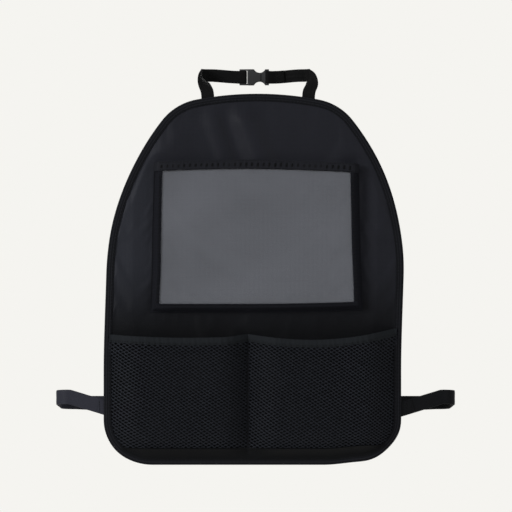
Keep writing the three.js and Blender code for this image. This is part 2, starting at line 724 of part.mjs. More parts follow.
// The buckle's plug: a slotted base, a guide tongue and two sprung arms whose tabs fill the latch windows.
function bucklePlug() {
  const half = BUCKLE_WIDTH / 2;
  const gripX = SOCKET_MOUTH_X + CLEARANCE;
  const end = PLUG_BAR_X + BAR_RADIUS;
  const edge = waist(gripX, WAIST_X + WAIST_LENGTH / 2).reverse();
  const base = cutBy(
    moulded(waisted(edge, end), LADDER_THICKNESS + 1, RAIL_BEVEL),
    slab(
      rectangle(PLUG_SLOT_X, end + 1, -SLOT_WIDTH / 2, SLOT_WIDTH / 2),
      2 * BUCKLE_THICKNESS,
    ).translate(0, BUCKLE_THICKNESS, 0),
  );
  const blade = BUCKLE_THICKNESS - 2 * BUCKLE_WALL - 2 * CLEARANCE;
  const centred = (outline) => slab(outline, blade).translate(0, blade / 2, 0);
  const tongue = rectangle(ARM_TIP_X, gripX + 1, -TONGUE_HALF_WIDTH, TONGUE_HALF_WIDTH);
  const pieces = [centred(tongue), bar(PLUG_BAR_X)];
  for (const side of [-1, 1]) {
    const tabFrom = LATCH_WINDOW_X + CLEARANCE;
    const tabTo = LATCH_WINDOW_X + LATCH_WINDOW_LENGTH - CLEARANCE;
    const outline = [
      new THREE.Vector2(gripX + 1, side * ARM_INNER_Z),
      new THREE.Vector2(gripX + 1, side * ARM_OUTER_Z),
      new THREE.Vector2(tabTo, side * ARM_OUTER_Z),
      new THREE.Vector2(tabTo, side * (half - CLEARANCE)),
      new THREE.Vector2(tabFrom, side * (half - CLEARANCE)),
      new THREE.Vector2(tabFrom, side * (half - BUCKLE_WALL - CLEARANCE)),
      new THREE.Vector2(ARM_TIP_X, side * ARM_OUTER_Z),
      new THREE.Vector2(ARM_TIP_X, side * ARM_INNER_Z),
    ];
    pieces.push(centred(outline));
  }
  return joined(base, ...pieces);
}

// The seat strap lies on the seat beside the panel, turns round both its sides and closes across its front.
function seatStrap() {
  const backY = CLEARANCE + ELASTIC_STRAP_THICKNESS / 2;
  const outerX = SEAT_STRAP_SPAN / 2 - ELASTIC_STRAP_THICKNESS / 2;
  const farY = SEAT_STRAP_DEPTH;
  const bend = SEAT_STRAP_BEND;
  const panelZ = BOTTOM_Z + SEAT_STRAP_PANEL_RISE;
  const outerZ = BOTTOM_Z + SEAT_STRAP_OUTER_RISE;
  const farZ = BOTTOM_Z + SEAT_STRAP_FAR_RISE;
  const slope = (outerZ - panelZ) / (outerX - bend - HALF_WIDTH);
  const endX = HALF_WIDTH - BINDING_WIDTH;
  const half = [
    new THREE.Vector3(endX, backY, panelZ - slope * BINDING_WIDTH),
    new THREE.Vector3(HALF_WIDTH, backY, panelZ),
  ];
  const steps = 5;
  const nearTurn = (i) => (QUARTER_TURN * i) / steps;
  const sideDrop = (y) => outerZ + ((farZ - outerZ) * (y - backY)) / (farY - backY);
  for (let i = 0; i <= steps; i++) {
    const x = outerX - bend + bend * Math.sin(nearTurn(i));
    const y = backY + bend - bend * Math.cos(nearTurn(i));
    half.push(new THREE.Vector3(x, y, sideDrop(y)));
  }
  for (let i = 0; i <= steps; i++) {
    const x = outerX - bend + bend * Math.cos(nearTurn(i));
    const y = farY - bend + bend * Math.sin(nearTurn(i));
    half.push(new THREE.Vector3(x, y, sideDrop(y)));
  }
  const mirrored = half.map((p) => new THREE.Vector3(-p.x, p.y, p.z)).reverse();
  const points = [...half, ...mirrored];
  const widths = points.map(() => new THREE.Vector3(0, 0, 1));
  const section = strapSection(ELASTIC_STRAP_WIDTH, ELASTIC_STRAP_THICKNESS);
  return sweep(section, strapFrames(points, widths));
}

function material(color, roughness, options = {}) {
  return new THREE.MeshStandardMaterial({ color, roughness, metalness: 0, ...options });
}

const cloth = material("#26272e", 0.8);
const tape = material("#18191c", 0.85);
const webbing = material("#121212", 0.85);
const net = material("#1c1d20", 0.8);
const elastic = material("#1c1e21", 0.9);
const hookAndLoop = material("#141416", 0.95);
const plastic = material("#333435", 0.45);
const film = material("#8f9299", 0.25, { transparent: true, opacity: 0.45 });

function piece(name, geometry, finish) {
  const mesh = new THREE.Mesh(geometry, finish);
  mesh.name = name;
  return mesh;
}

function tabletPocket() {
  const group = new THREE.Group();
  group.position.set(0, -PANEL_THICKNESS, WINDOW_CENTRE_Z);
  const hookFrontY = -CLEARANCE - CLOSURE_THICKNESS;
  const loopFrontY = TAPE_BACK_Y - TAPE_THICKNESS;
  group.add(
    piece("window_film", windowFilm(), film),
    piece("window_tape", windowTape(), tape),
    piece("mouth_tape", windowMouthTape(), tape),
    piece("closure_hook_strip", closureStrip(hookFrontY), hookAndLoop),
    piece("closure_loop_strip", closureStrip(loopFrontY), hookAndLoop),
  );
  return group;
}

function netPockets() {
  const group = new THREE.Group();
  group.add(
    piece("left_pocket_net", pocketNet(LEFT_POCKET, -1), net),
    piece("right_pocket_net", pocketNet(RIGHT_POCKET, 1), net),
    piece("left_pocket_elastic", pocketElastic(LEFT_POCKET, -1), elastic),
    piece("right_pocket_elastic", pocketElastic(RIGHT_POCKET, 1), elastic),
    piece("pocket_bottom_band", pocketBand(), cloth),
  );
  return group;
}

function headrestStrap() {
  const group = new THREE.Group();
  const buckle = new THREE.Group();
  buckle.position.set(0, BUCKLE_Y, STRAP_Z);
  buckle.add(
    piece("buckle_socket", buckleSocket(), plastic),
    piece("buckle_plug", bucklePlug(), plastic),
  );
  group.add(
    piece("left_head_strap", leftHeadStrap(), webbing),
    piece("right_head_strap", rightHeadStrap(), webbing),
    buckle,
  );
  return group;
}

const organizer = new THREE.Group();
organizer.add(
  piece("back_panel", backPanel(), cloth),
  piece("edge_binding", edgeBinding(), tape),
  tabletPocket(),
  netPockets(),
  headrestStrap(),
  piece("seat_strap", seatStrap(), elastic),
);

export default organizer;
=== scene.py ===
import math
from bisect import bisect_left

import bmesh
import bpy
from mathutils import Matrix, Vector, noise


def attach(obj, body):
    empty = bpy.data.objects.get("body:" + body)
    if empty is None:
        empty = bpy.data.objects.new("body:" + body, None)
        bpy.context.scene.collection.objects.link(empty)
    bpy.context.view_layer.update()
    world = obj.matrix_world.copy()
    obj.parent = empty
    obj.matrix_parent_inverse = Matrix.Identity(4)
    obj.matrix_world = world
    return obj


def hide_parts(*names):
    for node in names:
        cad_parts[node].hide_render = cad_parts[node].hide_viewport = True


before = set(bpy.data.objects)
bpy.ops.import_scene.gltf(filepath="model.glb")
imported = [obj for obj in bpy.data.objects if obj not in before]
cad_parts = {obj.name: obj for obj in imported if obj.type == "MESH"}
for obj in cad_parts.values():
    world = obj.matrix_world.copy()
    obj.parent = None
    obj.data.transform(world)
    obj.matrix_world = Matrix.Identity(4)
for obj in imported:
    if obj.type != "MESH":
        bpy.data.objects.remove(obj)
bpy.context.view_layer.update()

# A car seat back organizer: a thinly padded cloth panel with a bound edge, a clear pocket for a tablet, two
# net pockets with elastic tops, a buckled webbing strap for the headrest and an elastic strap for the seat.
# Sizes are in millimetres until a piece is made, which turns them to metres. +X is right, +Y goes into the
# seat and +Z is up.
MM = 0.001
GAP = 0.3

# Panel
PANEL_HALF_WIDTH = 174.0
PANEL_TOP = 217.0
PANEL_BOTTOM = -217.0
PANEL_THICKNESS = 2.0
PANEL_SLACK = 0.005
CLOTH_FRAMES = 30
PANEL_DEEPEST_FOLD = 2.5
CROWN_RADIUS = 380.0
CROWN_HALF_WIDTH = 72.0
SHOULDER_RADIUS = 66.0
FLANK_RADIUS = 293.0
CORNER_RADIUS = 53.0
BINDING_WIDTH = 9.0
TOP_LEAN = 2.2
FOOT_LEAN = 3.7
CORNER_LIFT = 4.0
# Heights of the folds that run down and to the right from the left strap's foot, across them.
FOLDS = (
    (-100, 1.2),
    (-78, 0.0),
    (-64, 0.0),
    (-50, 3.0),
    (-45, 3.0),
    (-34, -0.8),
    (-32, -0.8),
    (-12, 6.2),
    (-7, 6.2),
    (16, 0.4),
    (70, 0.0),
)
FOLD_SLANT = 0.37
FOLD_Z = 173.0

# Tablet pocket
WINDOW_WIDTH = 224.0
WINDOW_HEIGHT = 155.0
WINDOW_CENTRE_Z = 49.0
WINDOW_TAPER = 0.013
WINDOW_SHIFT = 1.2
MOUTH_SAG = 2.65e-4
MOUTH_HIGH_X = -13.5
MOUTH_RISE = 2.2
LEFT_EASE = 1.8
FOOT_RISE = 1.5e-4
POCKET_DEPTH = 10.0
FILM_THICKNESS = 0.5
FILM_OVERLAP = 3.5
TAPE_THICKNESS = 0.8
TAPE_FACE = 4.0
TAPE_SLOPE = 3.5
TAPE_FLANGE = 3.0
TAPE_TOP_RISE = 5.5
MOUTH_TAPE_HEIGHT = 11.0
CLOSURE_LENGTH = 200.0
CLOSURE_HEIGHT = 6.5
CLOSURE_THICKNESS = 0.8

# Net pockets
NET_THICKNESS = 0.8
DIVIDER_X = -9.0
BAND_TOP = PANEL_BOTTOM + 20.0
ELASTIC_HEIGHT = 9.0
ELASTIC_THICKNESS = 0.6
ELASTIC_BLEND = 24.0
BOTTOM_RISE = 34.0
LEFT_POCKET = {"side": -1, "depth": 17.0, "rise": 32.0, "outer": 148.0, "inner": 146.5, "sag": 2.5}
RIGHT_POCKET = {"side": 1, "depth": 22.0, "rise": 38.0, "outer": 155.0, "inner": 148.5, "sag": 9.0}
MESH_HALF_PITCH = (3.3, 2.05)
NET_TURN = math.radians(5)

# Headrest strap
WEBBING_WIDTH = 15.0
WEBBING_THICKNESS = 1.2
POST_X = 56.0
STRAP_SEAT_X = {-1: 56.0, 1: 62.0}
STRAP_BULGE = 4.0
POST_SETBACK = 30.0
WRAP_RADIUS = 7.6
STRAP_RISE = 22.0
STRAP_Z = PANEL_TOP + STRAP_RISE
STRAP_BOW = 2.0
TURN_RADIUS = 2.1
FRONT_LAYER_Y = POST_SETBACK + WRAP_RADIUS
BUCKLE_Y = FRONT_LAYER_Y + TURN_RADIUS
BACK_LAYER_Y = BUCKLE_Y + TURN_RADIUS
BAR_RADIUS = 1.2
PLUG_BAR_X = 14.5
INNER_LADDER_X = -13.0
OUTER_LADDER_X = -17.7
SEWN_END_LENGTH = 14.0
# How far the buckle's faces are moved out, so that no light comes between its halves.
BUCKLE_GROWTH = 0.17

# Seat strap
SEAT_WIDTH = 17.0
SEAT_THICKNESS = 1.2
SEAT_SPAN = 470.0
SEAT_DEPTH = 110.0
SEAT_BEND = 16.0
SEAT_FALL = 7.0
SEAT_PANEL_Z = PANEL_BOTTOM + 66.0
SEAT_OUTER_Z = PANEL_BOTTOM + 79.0
SEAT_FAR_Z = PANEL_BOTTOM + 66.0

# The light that the floor gives off to the camera alone, so that it is as light as the backdrop.
FLOOR_LIFT = 0.12

QUARTER = math.pi / 2
UP = Vector((0, 0, 1))
RIGHT = Vector((1, 0, 0))
FORWARD = Vector((0, -1, 0))
BACKWARD = Vector((0, 1, 0))


# Colours and finishes


def linear(code):
    """An sRGB hex colour as linear red, green, blue and alpha."""
    parts = [int(code[i : i + 2], 16) / 255 for i in (1, 3, 5)]
    return (*[c / 12.92 if c <= 0.04045 else ((c + 0.055) / 1.055) ** 2.4 for c in parts], 1.0)


def add(tree, kind, inputs, output=0, **settings):
    """Adds a node and gives one of its outputs. Each input gets a value, a colour code or another node's
    output."""
    made = tree.nodes.new(kind)
    for key, value in settings.items():
        setattr(made, key, value)
    for key, value in inputs.items():
        if isinstance(value, bpy.types.NodeSocket):
            tree.links.new(value, made.inputs[key])
        else:
            made.inputs[key].default_value = linear(value) if isinstance(value, str) else value
    return made.outputs[output] if made.outputs else None


def new_finish(name):
    """An empty material and its node tree."""
    finish = bpy.data.materials.new(name)
    finish.use_nodes = True
    finish.node_tree.nodes.clear()
    return finish, finish.node_tree


def ribs(tree, across, spacing_mm, direction="X"):
    """A soft wave with one crest every spacing_mm of the given coordinates, which are in metres."""
    scale = math.pi / 10 / (spacing_mm * MM)
    look = {"Vector": across, "Scale": scale, "Distortion": 0.0}
    return add(tree, "ShaderNodeTexWave", look, "Fac", bands_direction=direction)


def patches(tree, where, size_mm, detail=2.0, stretch=(1, 1, 1)):
    """A soft noise whose patches are about size_mm across, drawn out by stretch."""
    spread = add(tree, "ShaderNodeMapping", {"Vector": where, "Scale": [1 / s for s in stretch]})
    look = {"Vector": spread, "Scale": 1 / (size_mm * MM), "Detail": detail}
    return add(tree, "ShaderNodeTexNoise", look, "Fac")


def oxford_cloth():
    """Woven polyester oxford: blue-black, with a plain weave whose filament yarns catch a soft light. Its
    front is painted lighter at the left side, as painted light, and near black low down behind the net
    pockets, as painted shade."""
    finish, tree = new_finish("oxford_cloth")
    where = add(tree, "ShaderNodeTexCoord", {}, "Object")
    # The yarns of such cloth lie about 0.5 mm apart; they are drawn 1.5 mm apart so that the weave shows.
    warp = ribs(tree, where, 1.5, "X")
    weft = ribs(tree, where, 1.5, "Z")
    weave = add(tree, "ShaderNodeMath", {0: warp, 1: weft}, operation="MULTIPLY")
    cloud = patches(tree, where, 30, 3.0, (1, 1, 2.5))
    fuzz = patches(tree, where, 1.1, 1.0)
    place = add(tree, "ShaderNodeSeparateXYZ", {0: where}).node.outputs
    # Soft steps between two places, in millimetres: the front face, behind the nets, and the left side.
    steps = []
    for axis, start, end in (("Y", -1.1, -1.5), ("Z", 30, -75), ("X", -104, -132)):
        span = {"Value": place[axis], "From Min": start * MM, "From Max": end * MM}
        steps.append(add(tree, "ShaderNodeMapRange", span, interpolation_type="SMOOTHSTEP"))
    front, behind_nets, left = steps
    # Painted shade: low on the front, behind and under the net pockets, the cloth is drawn near black for the
    # nets' shade.
    painted_net_shade = add(tree, "ShaderNodeMath", {0: behind_nets, 1: front}, operation="MULTIPLY")
    # Painted light: the front's left side is drawn lighter, for the lamp that lights it from the left.
    painted_left_light = add(tree, "ShaderNodeMath", {0: left, 1: front}, operation="MULTIPLY")
    shade = add(tree, "ShaderNodeMix", {0: weave, 6: "#191a20", 7: "#212229"}, 2, data_type="RGBA")
    # The layers: a random cloud of tone, then the painted light at the left, then the painted shade behind
    # the nets.
    for mask, strength, dye in ((cloud, 0.5, "#26272e"), (painted_left_light, 0.75, "#292b32"), (painted_net_shade, 0.94, "#040507")):
        share = add(tree, "ShaderNodeMath", {0: mask, 1: strength}, operation="MULTIPLY")
        shade = add(tree, "ShaderNodeMix", {0: share, 6: shade, 7: dye}, 2, data_type="RGBA")
    bump = add(tree, "ShaderNodeBump", {"Height": weave, "Distance": 0.16 * MM, "Strength": 0.7})
    soft = {"Height": fuzz, "Distance": 0.12 * MM, "Strength": 0.45, "Normal": bump}
    bump = add(tree, "ShaderNodeBump", soft)
    look = {"Base Color": shade, "Roughness": 0.52, "Specular IOR Level": 0.1, "Normal": bump}
    add(tree, "ShaderNodeOutputMaterial", {0: add(tree, "ShaderNodeBsdfPrincipled", look)})
    return finish


def ribbed_tape(name, dark, light, spacing_mm, depth_mm, roughness=0.85, shine=0.08, cord_groove_shade=0.0):
    """A woven tape with ribs across it, from the coordinates of its own length and width. The last argument
    is how much darker it is painted between the thicker cords along it, which lie 3 mm apart: painted shade
    in the grooves."""
    finish, tree = new_finish(name)
    where = add(tree, "ShaderNodeUVMap", {}, uv_map="length_and_width")
    solid = add(tree, "ShaderNodeTexCoord", {}, "Object")
    rib = ribs(tree, where, spacing_mm, "X")
    fuzz = patches(tree, solid, 0.9, 1.0)
    shade = add(tree, "ShaderNodeMix", {0: rib, 6: dark, 7: light}, 2, data_type="RGBA")
    masks = [(patches(tree, solid, 18, 3.0), 0.35, light)]
    # Painted shade: dark lines in the grooves between the cords.
    if cord_groove_shade:
        masks.append((ribs(tree, where, 3.0, "Y"), cord_groove_shade, dark))
    for mask, strength, dye in masks:
        share = add(tree, "ShaderNodeMath", {0: mask, 1: strength}, operation="MULTIPLY")
        shade = add(tree, "ShaderNodeMix", {0: share, 6: shade, 7: dye}, 2, data_type="RGBA")
    bump = add(tree, "ShaderNodeBump", {"Height": rib, "Distance": depth_mm * MM, "Strength": 0.8})
    soft = {"Height": fuzz, "Distance": 0.1 * MM, "Strength": 0.4, "Normal": bump}
    bump = add(tree, "ShaderNodeBump", soft)
    look = {"Base Color": shade, "Roughness": roughness, "Specular IOR Level": shine, "Normal": bump}
    add(tree, "ShaderNodeOutputMaterial", {0: add(tree, "ShaderNodeBsdfPrincipled", look)})
    return finish


def braided_elastic():
    """Braided elastic: fine cords side by side along its length, of smooth yarn with a satin shine. Its left
    end is painted lighter, as painted light where it turns towards the lamp."""
    finish, tree = new_finish("braided_elastic")
    where = add(tree, "ShaderNodeUVMap", {}, uv_map="length_and_width")
    solid = add(tree, "ShaderNodeTexCoord", {}, "Object")
    cord = ribs(tree, where, 1.4, "Y")
    cross = ribs(tree, where, 1.6, "X")
    side = add(tree, "ShaderNodeSeparateXYZ", {0: solid}, "X")
    # Painted light: the left end is drawn lighter, as if it were lit more, where it turns towards the lamp.
    span = {"Value": side, "From Min": 100 * MM, "From Max": -190 * MM}
    painted_end_light = add(tree, "ShaderNodeMapRange", span, interpolation_type="SMOOTHSTEP")
    shade = add(tree, "ShaderNodeMix", {0: cord, 6: "#07080a", 7: "#0f1013"}, 2, data_type="RGBA")
    shade = add(tree, "ShaderNodeMix", {0: painted_end_light, 6: shade, 7: "#2f3039"}, 2, data_type="RGBA")
    share = add(tree, "ShaderNodeMath", {0: patches(tree, solid, 14), 1: 0.3}, operation="MULTIPLY")
    shade = add(tree, "ShaderNodeMix", {0: share, 6: shade, 7: "#15161b"}, 2, data_type="RGBA")
    bump = add(tree, "ShaderNodeBump", {"Height": cord, "Distance": 0.15 * MM, "Strength": 0.6})
    fine = {"Height": cross, "Distance": 0.08 * MM, "Strength": 0.5, "Normal": bump}
    bump = add(tree, "ShaderNodeBump", fine)
    look = {"Base Color": shade, "Roughness": 0.5, "Specular IOR Level": 0.09, "Normal": bump}
    add(tree, "ShaderNodeOutputMaterial", {0: add(tree, "ShaderNodeBsdfPrincipled", look)})
    return finish


def polypropylene_webbing():
    """Flat webbing: lengthwise chevrons of smooth filament yarn, a little shinier than the cloth."""
    finish, tree = new_finish("polypropylene_webbing")
    where = add(tree, "ShaderNodeUVMap", {}, uv_map="length_and_width")
    place = add(tree, "ShaderNodeSeparateXYZ", {0: where}).node.outputs
    # Chevrons 5 mm wide: the length runs ahead by the distance from each chevron's middle.
    folded = add(tree, "ShaderNodeMath", {0: place["Y"], 1: 2.5 * MM}, operation="PINGPONG")
    run = add(tree, "ShaderNodeMath", {0: place["X"], 1: folded}, operation="ADD")
    rib = ribs(tree, add(tree, "ShaderNodeCombineXYZ", {0: run}), 1.7, "X")
    shade = add(tree, "ShaderNodeMix", {0: rib, 6: "#080808", 7: "#151516"}, 2, data_type="RGBA")
    bump = add(tree, "ShaderNodeBump", {"Height": rib, "Distance": 0.25 * MM, "Strength": 0.9})
    look = {"Base Color": shade, "Roughness": 0.6, "Specular IOR Level": 0.08, "Normal": bump}
    add(tree, "ShaderNodeOutputMaterial", {0: add(tree, "ShaderNodeBsdfPrincipled", look)})
    return finish


def clear_vinyl():
    """Soft clear PVC film: hazy grey over the dark cloth, with a soft shine and slow ripples."""
    finish, tree = new_finish("clear_vinyl")
    where = add(tree, "ShaderNodeTexCoord", {}, "Object")
    haze = patches(tree, where, 60, 2.0, (1.6, 1, 1))
    wave = patches(tree, where, 34, 1.0, (2.2, 1, 0.9))
    shade = add(tree, "ShaderNodeMix", {0: haze, 6: "#777a81", 7: "#9396a0"}, 2, data_type="RGBA")
    bump = add(tree, "ShaderNodeBump", {"Height": wave, "Distance": 1.2 * MM, "Strength": 0.35})
    look = {"Base Color": shade, "Roughness": 0.24, "IOR": 1.53, "Alpha": 0.3, "Normal": bump}
    add(tree, "ShaderNodeOutputMaterial", {0: add(tree, "ShaderNodeBsdfPrincipled", look)})
    return finish


def knitted_net():
    """Warp-knitted polyester net: black strands with small glints where the filaments turn."""
    finish, tree = new_finish("knitted_net")
    where = add(tree, "ShaderNodeTexCoord", {}, "Object")
    twist = ribs(tree, where, 0.9, "DIAGONAL")
    glint = patches(tree, where, 2.4, 2.0)
    shade = add(tree, "ShaderNodeMix", {0: glint, 6: "#0e0f13", 7: "#2d3037"}, 2, data_type="RGBA")
    bump = add(tree, "ShaderNodeBump", {"Height": twist, "Distance": 0.1 * MM, "Strength": 0.6})
    look = {"Base Color": shade, "Roughness": 0.5, "Specular IOR Level": 0.07, "Normal": bump}
    add(tree, "ShaderNodeOutputMaterial", {0: add(tree, "ShaderNodeBsdfPrincipled", look)})
    return finish


def hook_pile():
    """Hook-and-loop tape: a dense, rough nylon pile."""
    finish, tree = new_finish("hook_pile")
    where = add(tree, "ShaderNodeTexCoord", {}, "Object")
    tips = add(tree, "ShaderNodeTexVoronoi", {"Vector": where, "Scale": 1 / (1.6 * MM)}, "Distance")
    shade = add(tree, "ShaderNodeMix", {0: tips, 6: "#202124", 7: "#0b0b0c"}, 2, data_type="RGBA")
    bump = add(tree, "ShaderNodeBump", {"Height": tips, "Distance": 0.5 * MM, "Strength": -0.8})
    look = {"Base Color": shade, "Roughness": 0.95, "Specular IOR Level": 0.15, "Normal": bump}
    look["Sheen Weight"] = 0.15
    add(tree, "ShaderNodeOutputMaterial", {0: add(tree, "ShaderNodeBsdfPrincipled", look)})
    return finish


def sewing_thread():
    """Twisted polyester sewing thread: blacker than the tapes, so that each stitch reads as a dark mark."""
    finish, tree = new_finish("sewing_thread")
    where = add(tree, "ShaderNodeTexCoord", {}, "Object")
    twist = ribs(tree, where, 0.7, "DIAGONAL")
    shade = add(tree, "ShaderNodeMix", {0: twist, 6: "#060607", 7: "#16171a"}, 2, data_type="RGBA")
    bump = add(tree, "ShaderNodeBump", {"Height": twist, "Distance": 0.12 * MM, "Strength": 0.6})
    look = {"Base Color": shade, "Roughness": 0.6, "Specular IOR Level": 0.1, "Normal": bump}
    add(tree, "ShaderNodeOutputMaterial", {0: add(tree, "ShaderNodeBsdfPrincipled", look)})
    return finish


def moulded_acetal():
    """Injection-moulded acetal: dark grey, satin, with a fine spark-eroded grain."""
    finish, tree = new_finish("moulded_acetal")
    where = add(tree, "ShaderNodeTexCoord", {}, "Object")
    # The real grain is about 0.1 mm; it is drawn at 0.5 mm so that it shows.
    grain = patches(tree, where, 0.5, 2.0)
    cloud = patches(tree, where, 9, 2.0)
    shade = add(tree, "ShaderNodeMix", {0: cloud, 6: "#222325", 7: "#2f3032"}, 2, data_type="RGBA")
    bump = add(tree, "ShaderNodeBump", {"Height": grain, "Distance": 0.05 * MM, "Strength": 0.35})
    look = {"Base Color": shade, "Roughness": 0.42, "IOR": 1.48, "Normal": bump}
    add(tree, "ShaderNodeOutputMaterial", {0: add(tree, "ShaderNodeBsdfPrincipled", look)})
    return finish


# Making pieces


def hang(point):
    """Where a point of the panel comes to rest. The panel hangs a little askew: its top leans to the right,
    the foot of each side to the left, and its right-hand bottom corner is pulled up."""
    foot = FOOT_LEAN * smooth((50 - point.z) / 160) * smooth((abs(point.x) - 118) / 45)
    lift = CORNER_LIFT * smooth((point.x - 80) / 50) * smooth((-165 - point.z) / 40)
    return Vector((point.x + top_lean(point.z) - foot, point.y, point.z + lift))


def top_lean(z):
    return TOP_LEAN * smooth((z - 40) / 110)


def make_piece(name, points, faces, finish, stands_for=(), corners=None, sharp=40, hung=True):
    """A mesh from points in millimetres. corners are the length and width, in metres, at each face corner."""
    mesh = bpy.data.meshes.new(name)
    mesh.from_pydata([(hang(p) if hung else p) * MM for p in points], [], faces)
    if corners:
        layer = mesh.uv_layers.new(name="length_and_width")
        flat = [value for corner in corners for value in corner]
        layer.data.foreach_set("uv", flat)
    shape = bmesh.new()
    shape.from_mesh(mesh)
    bmesh.ops.recalc_face_normals(shape, faces=shape.faces)
    shape.to_mesh(mesh)
    shape.free()
    mesh.shade_smooth()
    mesh.set_sharp_from_angle(angle=math.radians(sharp))
    mesh.materials.append(finish)
    piece = bpy.data.objects.new(name, mesh)
    bpy.context.scene.collection.objects.link(piece)
    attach(piece, "root")
    if stands_for:
        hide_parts(*stands_for)
    return piece


def sheet_faces(columns, lines):
    """Faces of a closed sheet from two layers of points, each in rows, and the strip round its edge."""
    wide = columns + 1
    back = wide * (lines + 1)
    faces = []
    for j in range(lines):
        for i in range(columns):
            a = j * wide + i
            quad = (a, a + 1, a + wide + 1, a + wide)
            faces.append(quad)
            faces.append(tuple(back + k for k in reversed(quad)))
    border = list(range(columns)) + [j * wide + columns for j in range(lines)]
    border += [lines * wide + i for i in range(columns, 0, -1)]
    border += [j * wide for j in range(lines, 0, -1)]
    for a, b in zip(border, border[1:] + border[:1]):
        faces.append((b, a, a + back, b + back))
    return faces


def thick_sheet(rows, thickness):
    """Points and faces of a closed sheet about rows of points, pushed out along its own normals."""
    high, wide = len(rows), len(rows[0])
    points = []
    for side in (-0.5, 0.5):
        for j in range(high):
            for i in range(wide):
                along = rows[j][min(i + 1, wide - 1)] - rows[j][max(i - 1, 0)]
                up = rows[min(j + 1, high - 1)][i] - rows[max(j - 1, 0)][i]
                out = up.cross(along)
                if out.length < 1e-9:
                    out = BACKWARD
                points.append(rows[j][i] + out.normalized() * (side * thickness))
    return points, sheet_faces(wide - 1, high - 1)


def skin(rings, closed=False):
    """Quads over rings of points, with each corner's length along the rings and distance round them."""
    count, size = len(rings), len(rings[0])
    points = [p for ring in rings for p in ring]
    around = [0.0]
    for k in range(size):
        around.append(around[-1] + (rings[0][(k + 1) % size] - rings[0][k]).length * MM)
    centres = [sum(ring, Vector()) / size for ring in rings]
    along = [0.0]
    for i in range(count if closed else count - 1):
        along.append(along[-1] + (centres[(i + 1) % count] - centres[i]).length * MM)
    faces = []
    corners = []
    for i in range(count if closed else count - 1):
        j = (i + 1) % count
        for k in range(size):
            m = (k + 1) % size
            faces.append((i * size + k, i * size + m, j * size + m, j * size + k))
            corners += [
                (along[i], around[k]),
                (along[i], around[k + 1]),
                (along[i + 1], around[k + 1]),
                (along[i + 1], around[k]),
            ]
    if not closed:
        for start, order in ((0, range(size - 1, -1, -1)), ((count - 1) * size, range(size))):
            faces.append(tuple(start + k for k in order))
            corners += [(along[0 if start == 0 else -1], around[k]) for k in order]
    return points, faces, corners


def tape_piece(name, rings, finish, stands_for=(), sharp=50, closed=False, hung=True):
    """A tape or strap: a piece skinned over its rings."""
    points, faces, corners = skin(rings, closed)
    return make_piece(name, points, faces, finish, stands_for, corners, sharp, hung)


def strap_rings(path, widths, width, thickness, crown=0.15):
    """Rings of a woven strap along a path: a flat oval with rounded selvedges."""
    half, thick = width / 2, thickness / 2
    section = [
        (-half, 0.0),
        (-half + 0.35, -thick * 0.85),
        (-half * 0.6, -thick - crown),
        (0.0, -thick - crown * 0.4),
        (half * 0.6, -thick - crown),
        (half - 0.35, -thick * 0.85),
        (half, 0.0),
        (half - 0.35, thick * 0.85),
        (half * 0.6, thick + crown),
        (0.0, thick + crown * 0.4),
        (-half * 0.6, thick + crown),
        (-half + 0.35, thick * 0.85),
    ]
    rings = []
    for i, at in enumerate(path):
        ahead = (path[min(i + 1, len(path) - 1)] - path[max(i - 1, 0)]).normalized()
        across = (widths[i] - ahead * widths[i].dot(ahead)).normalized()
        face = across.cross(ahead)
        rings.append([at + across * s + face * t for s, t in section])
    return rings


def stitches(name, seams, finish, thickness=0.7, length=2.6, hung=True):
    """Rows of stitches. Each seam is a list of (place, direction, outward) for one thread grain each."""
    points = []
    faces = []
    for at, ahead, out in seams:
        ahead = ahead.normalized()
        out = out.normalized()
        side = ahead.cross(out)
        base = len(points)
        half = thickness / 2
        points.append(at - ahead * (length / 2))
        for share, swell in ((-0.22, 1.0), (0.22, 1.0)):
            middle = at + ahead * (length * share)
            for across, lift in ((-1, 0), (0, 1), (1, 0), (0, -1)):
                points.append(middle + side * (across * half * swell) + out * (lift * half * swell))
        points.append(at + ahead * (length / 2))
        for k in range(4):
            m = (k + 1) % 4
            faces.append((base, base + 1 + m, base + 1 + k))
            faces.append((base + 1 + k, base + 1 + m, base + 5 + m, base + 5 + k))
            faces.append((base + 5 + k, base + 5 + m, base + 9))
    return make_piece(name, points, faces, finish, sharp=180, hung=hung)


def seam_along(path, out, pitch):
    """Stitch places every pitch along a path of points, all facing out."""
    places = []
    carried = pitch / 2
    for a, b in zip(path, path[1:]):
        step = b - a
        reach = step.length
        while carried <= reach and reach > 0:
            places.append((a + step * (carried / reach), step.copy(), out))
            carried += pitch
        carried -= reach
    return places


def read_off(table, x):
    """Height at x on a line of (x, height) points that run from left to right."""
    k = min(max(bisect_left([p[0] for p in table], x), 1), len(table) - 1)
    (x0, z0), (x1, z1) = table[k - 1], table[k]
    return z0 + (z1 - z0) * (x - x0) / (x1 - x0) if x1 > x0 else z0


def soft_read(table, x):
    """The same with a soft curve between the points of the line."""
    k = min(max(bisect_left([p[0] for p in table], x), 1), len(table) - 1)
    (x0, z0), (x1, z1) = table[k - 1], table[k]
    return z0 + (z1 - z0) * smooth((x - x0) / (x1 - x0))


def spline(points, steps):
    """A smooth run through points, steps to each stretch."""
    run = []
    last = len(points) - 1
    for i in range(last):
        a, b, c, d = (points[min(max(k, 0), last)] for k in (i - 1, i, i + 1, i + 2))
        for j in range(steps):
            t = j / steps
            bent = 2 * b + (c - a) * t + (2 * a - 5 * b + 4 * c - d) * t * t
            run.append(0.5 * (bent + (3 * b - a - 3 * c + d) * t**3))
    return run + [points[-1]]


def ease(t):
    return math.sin(QUARTER * min(max(t, 0.0), 1.0))


def smooth(t):
    t = min(max(t, 0.0), 1.0)
    return t * t * (3 - 2 * t)


def ripple(x, z, size, seed=0.0):
    """A slow irregular height from -1 to 1, with waves about size apart."""
    return noise.noise(Vector((x / size, z / size, seed)))


# Shapes of the organizer


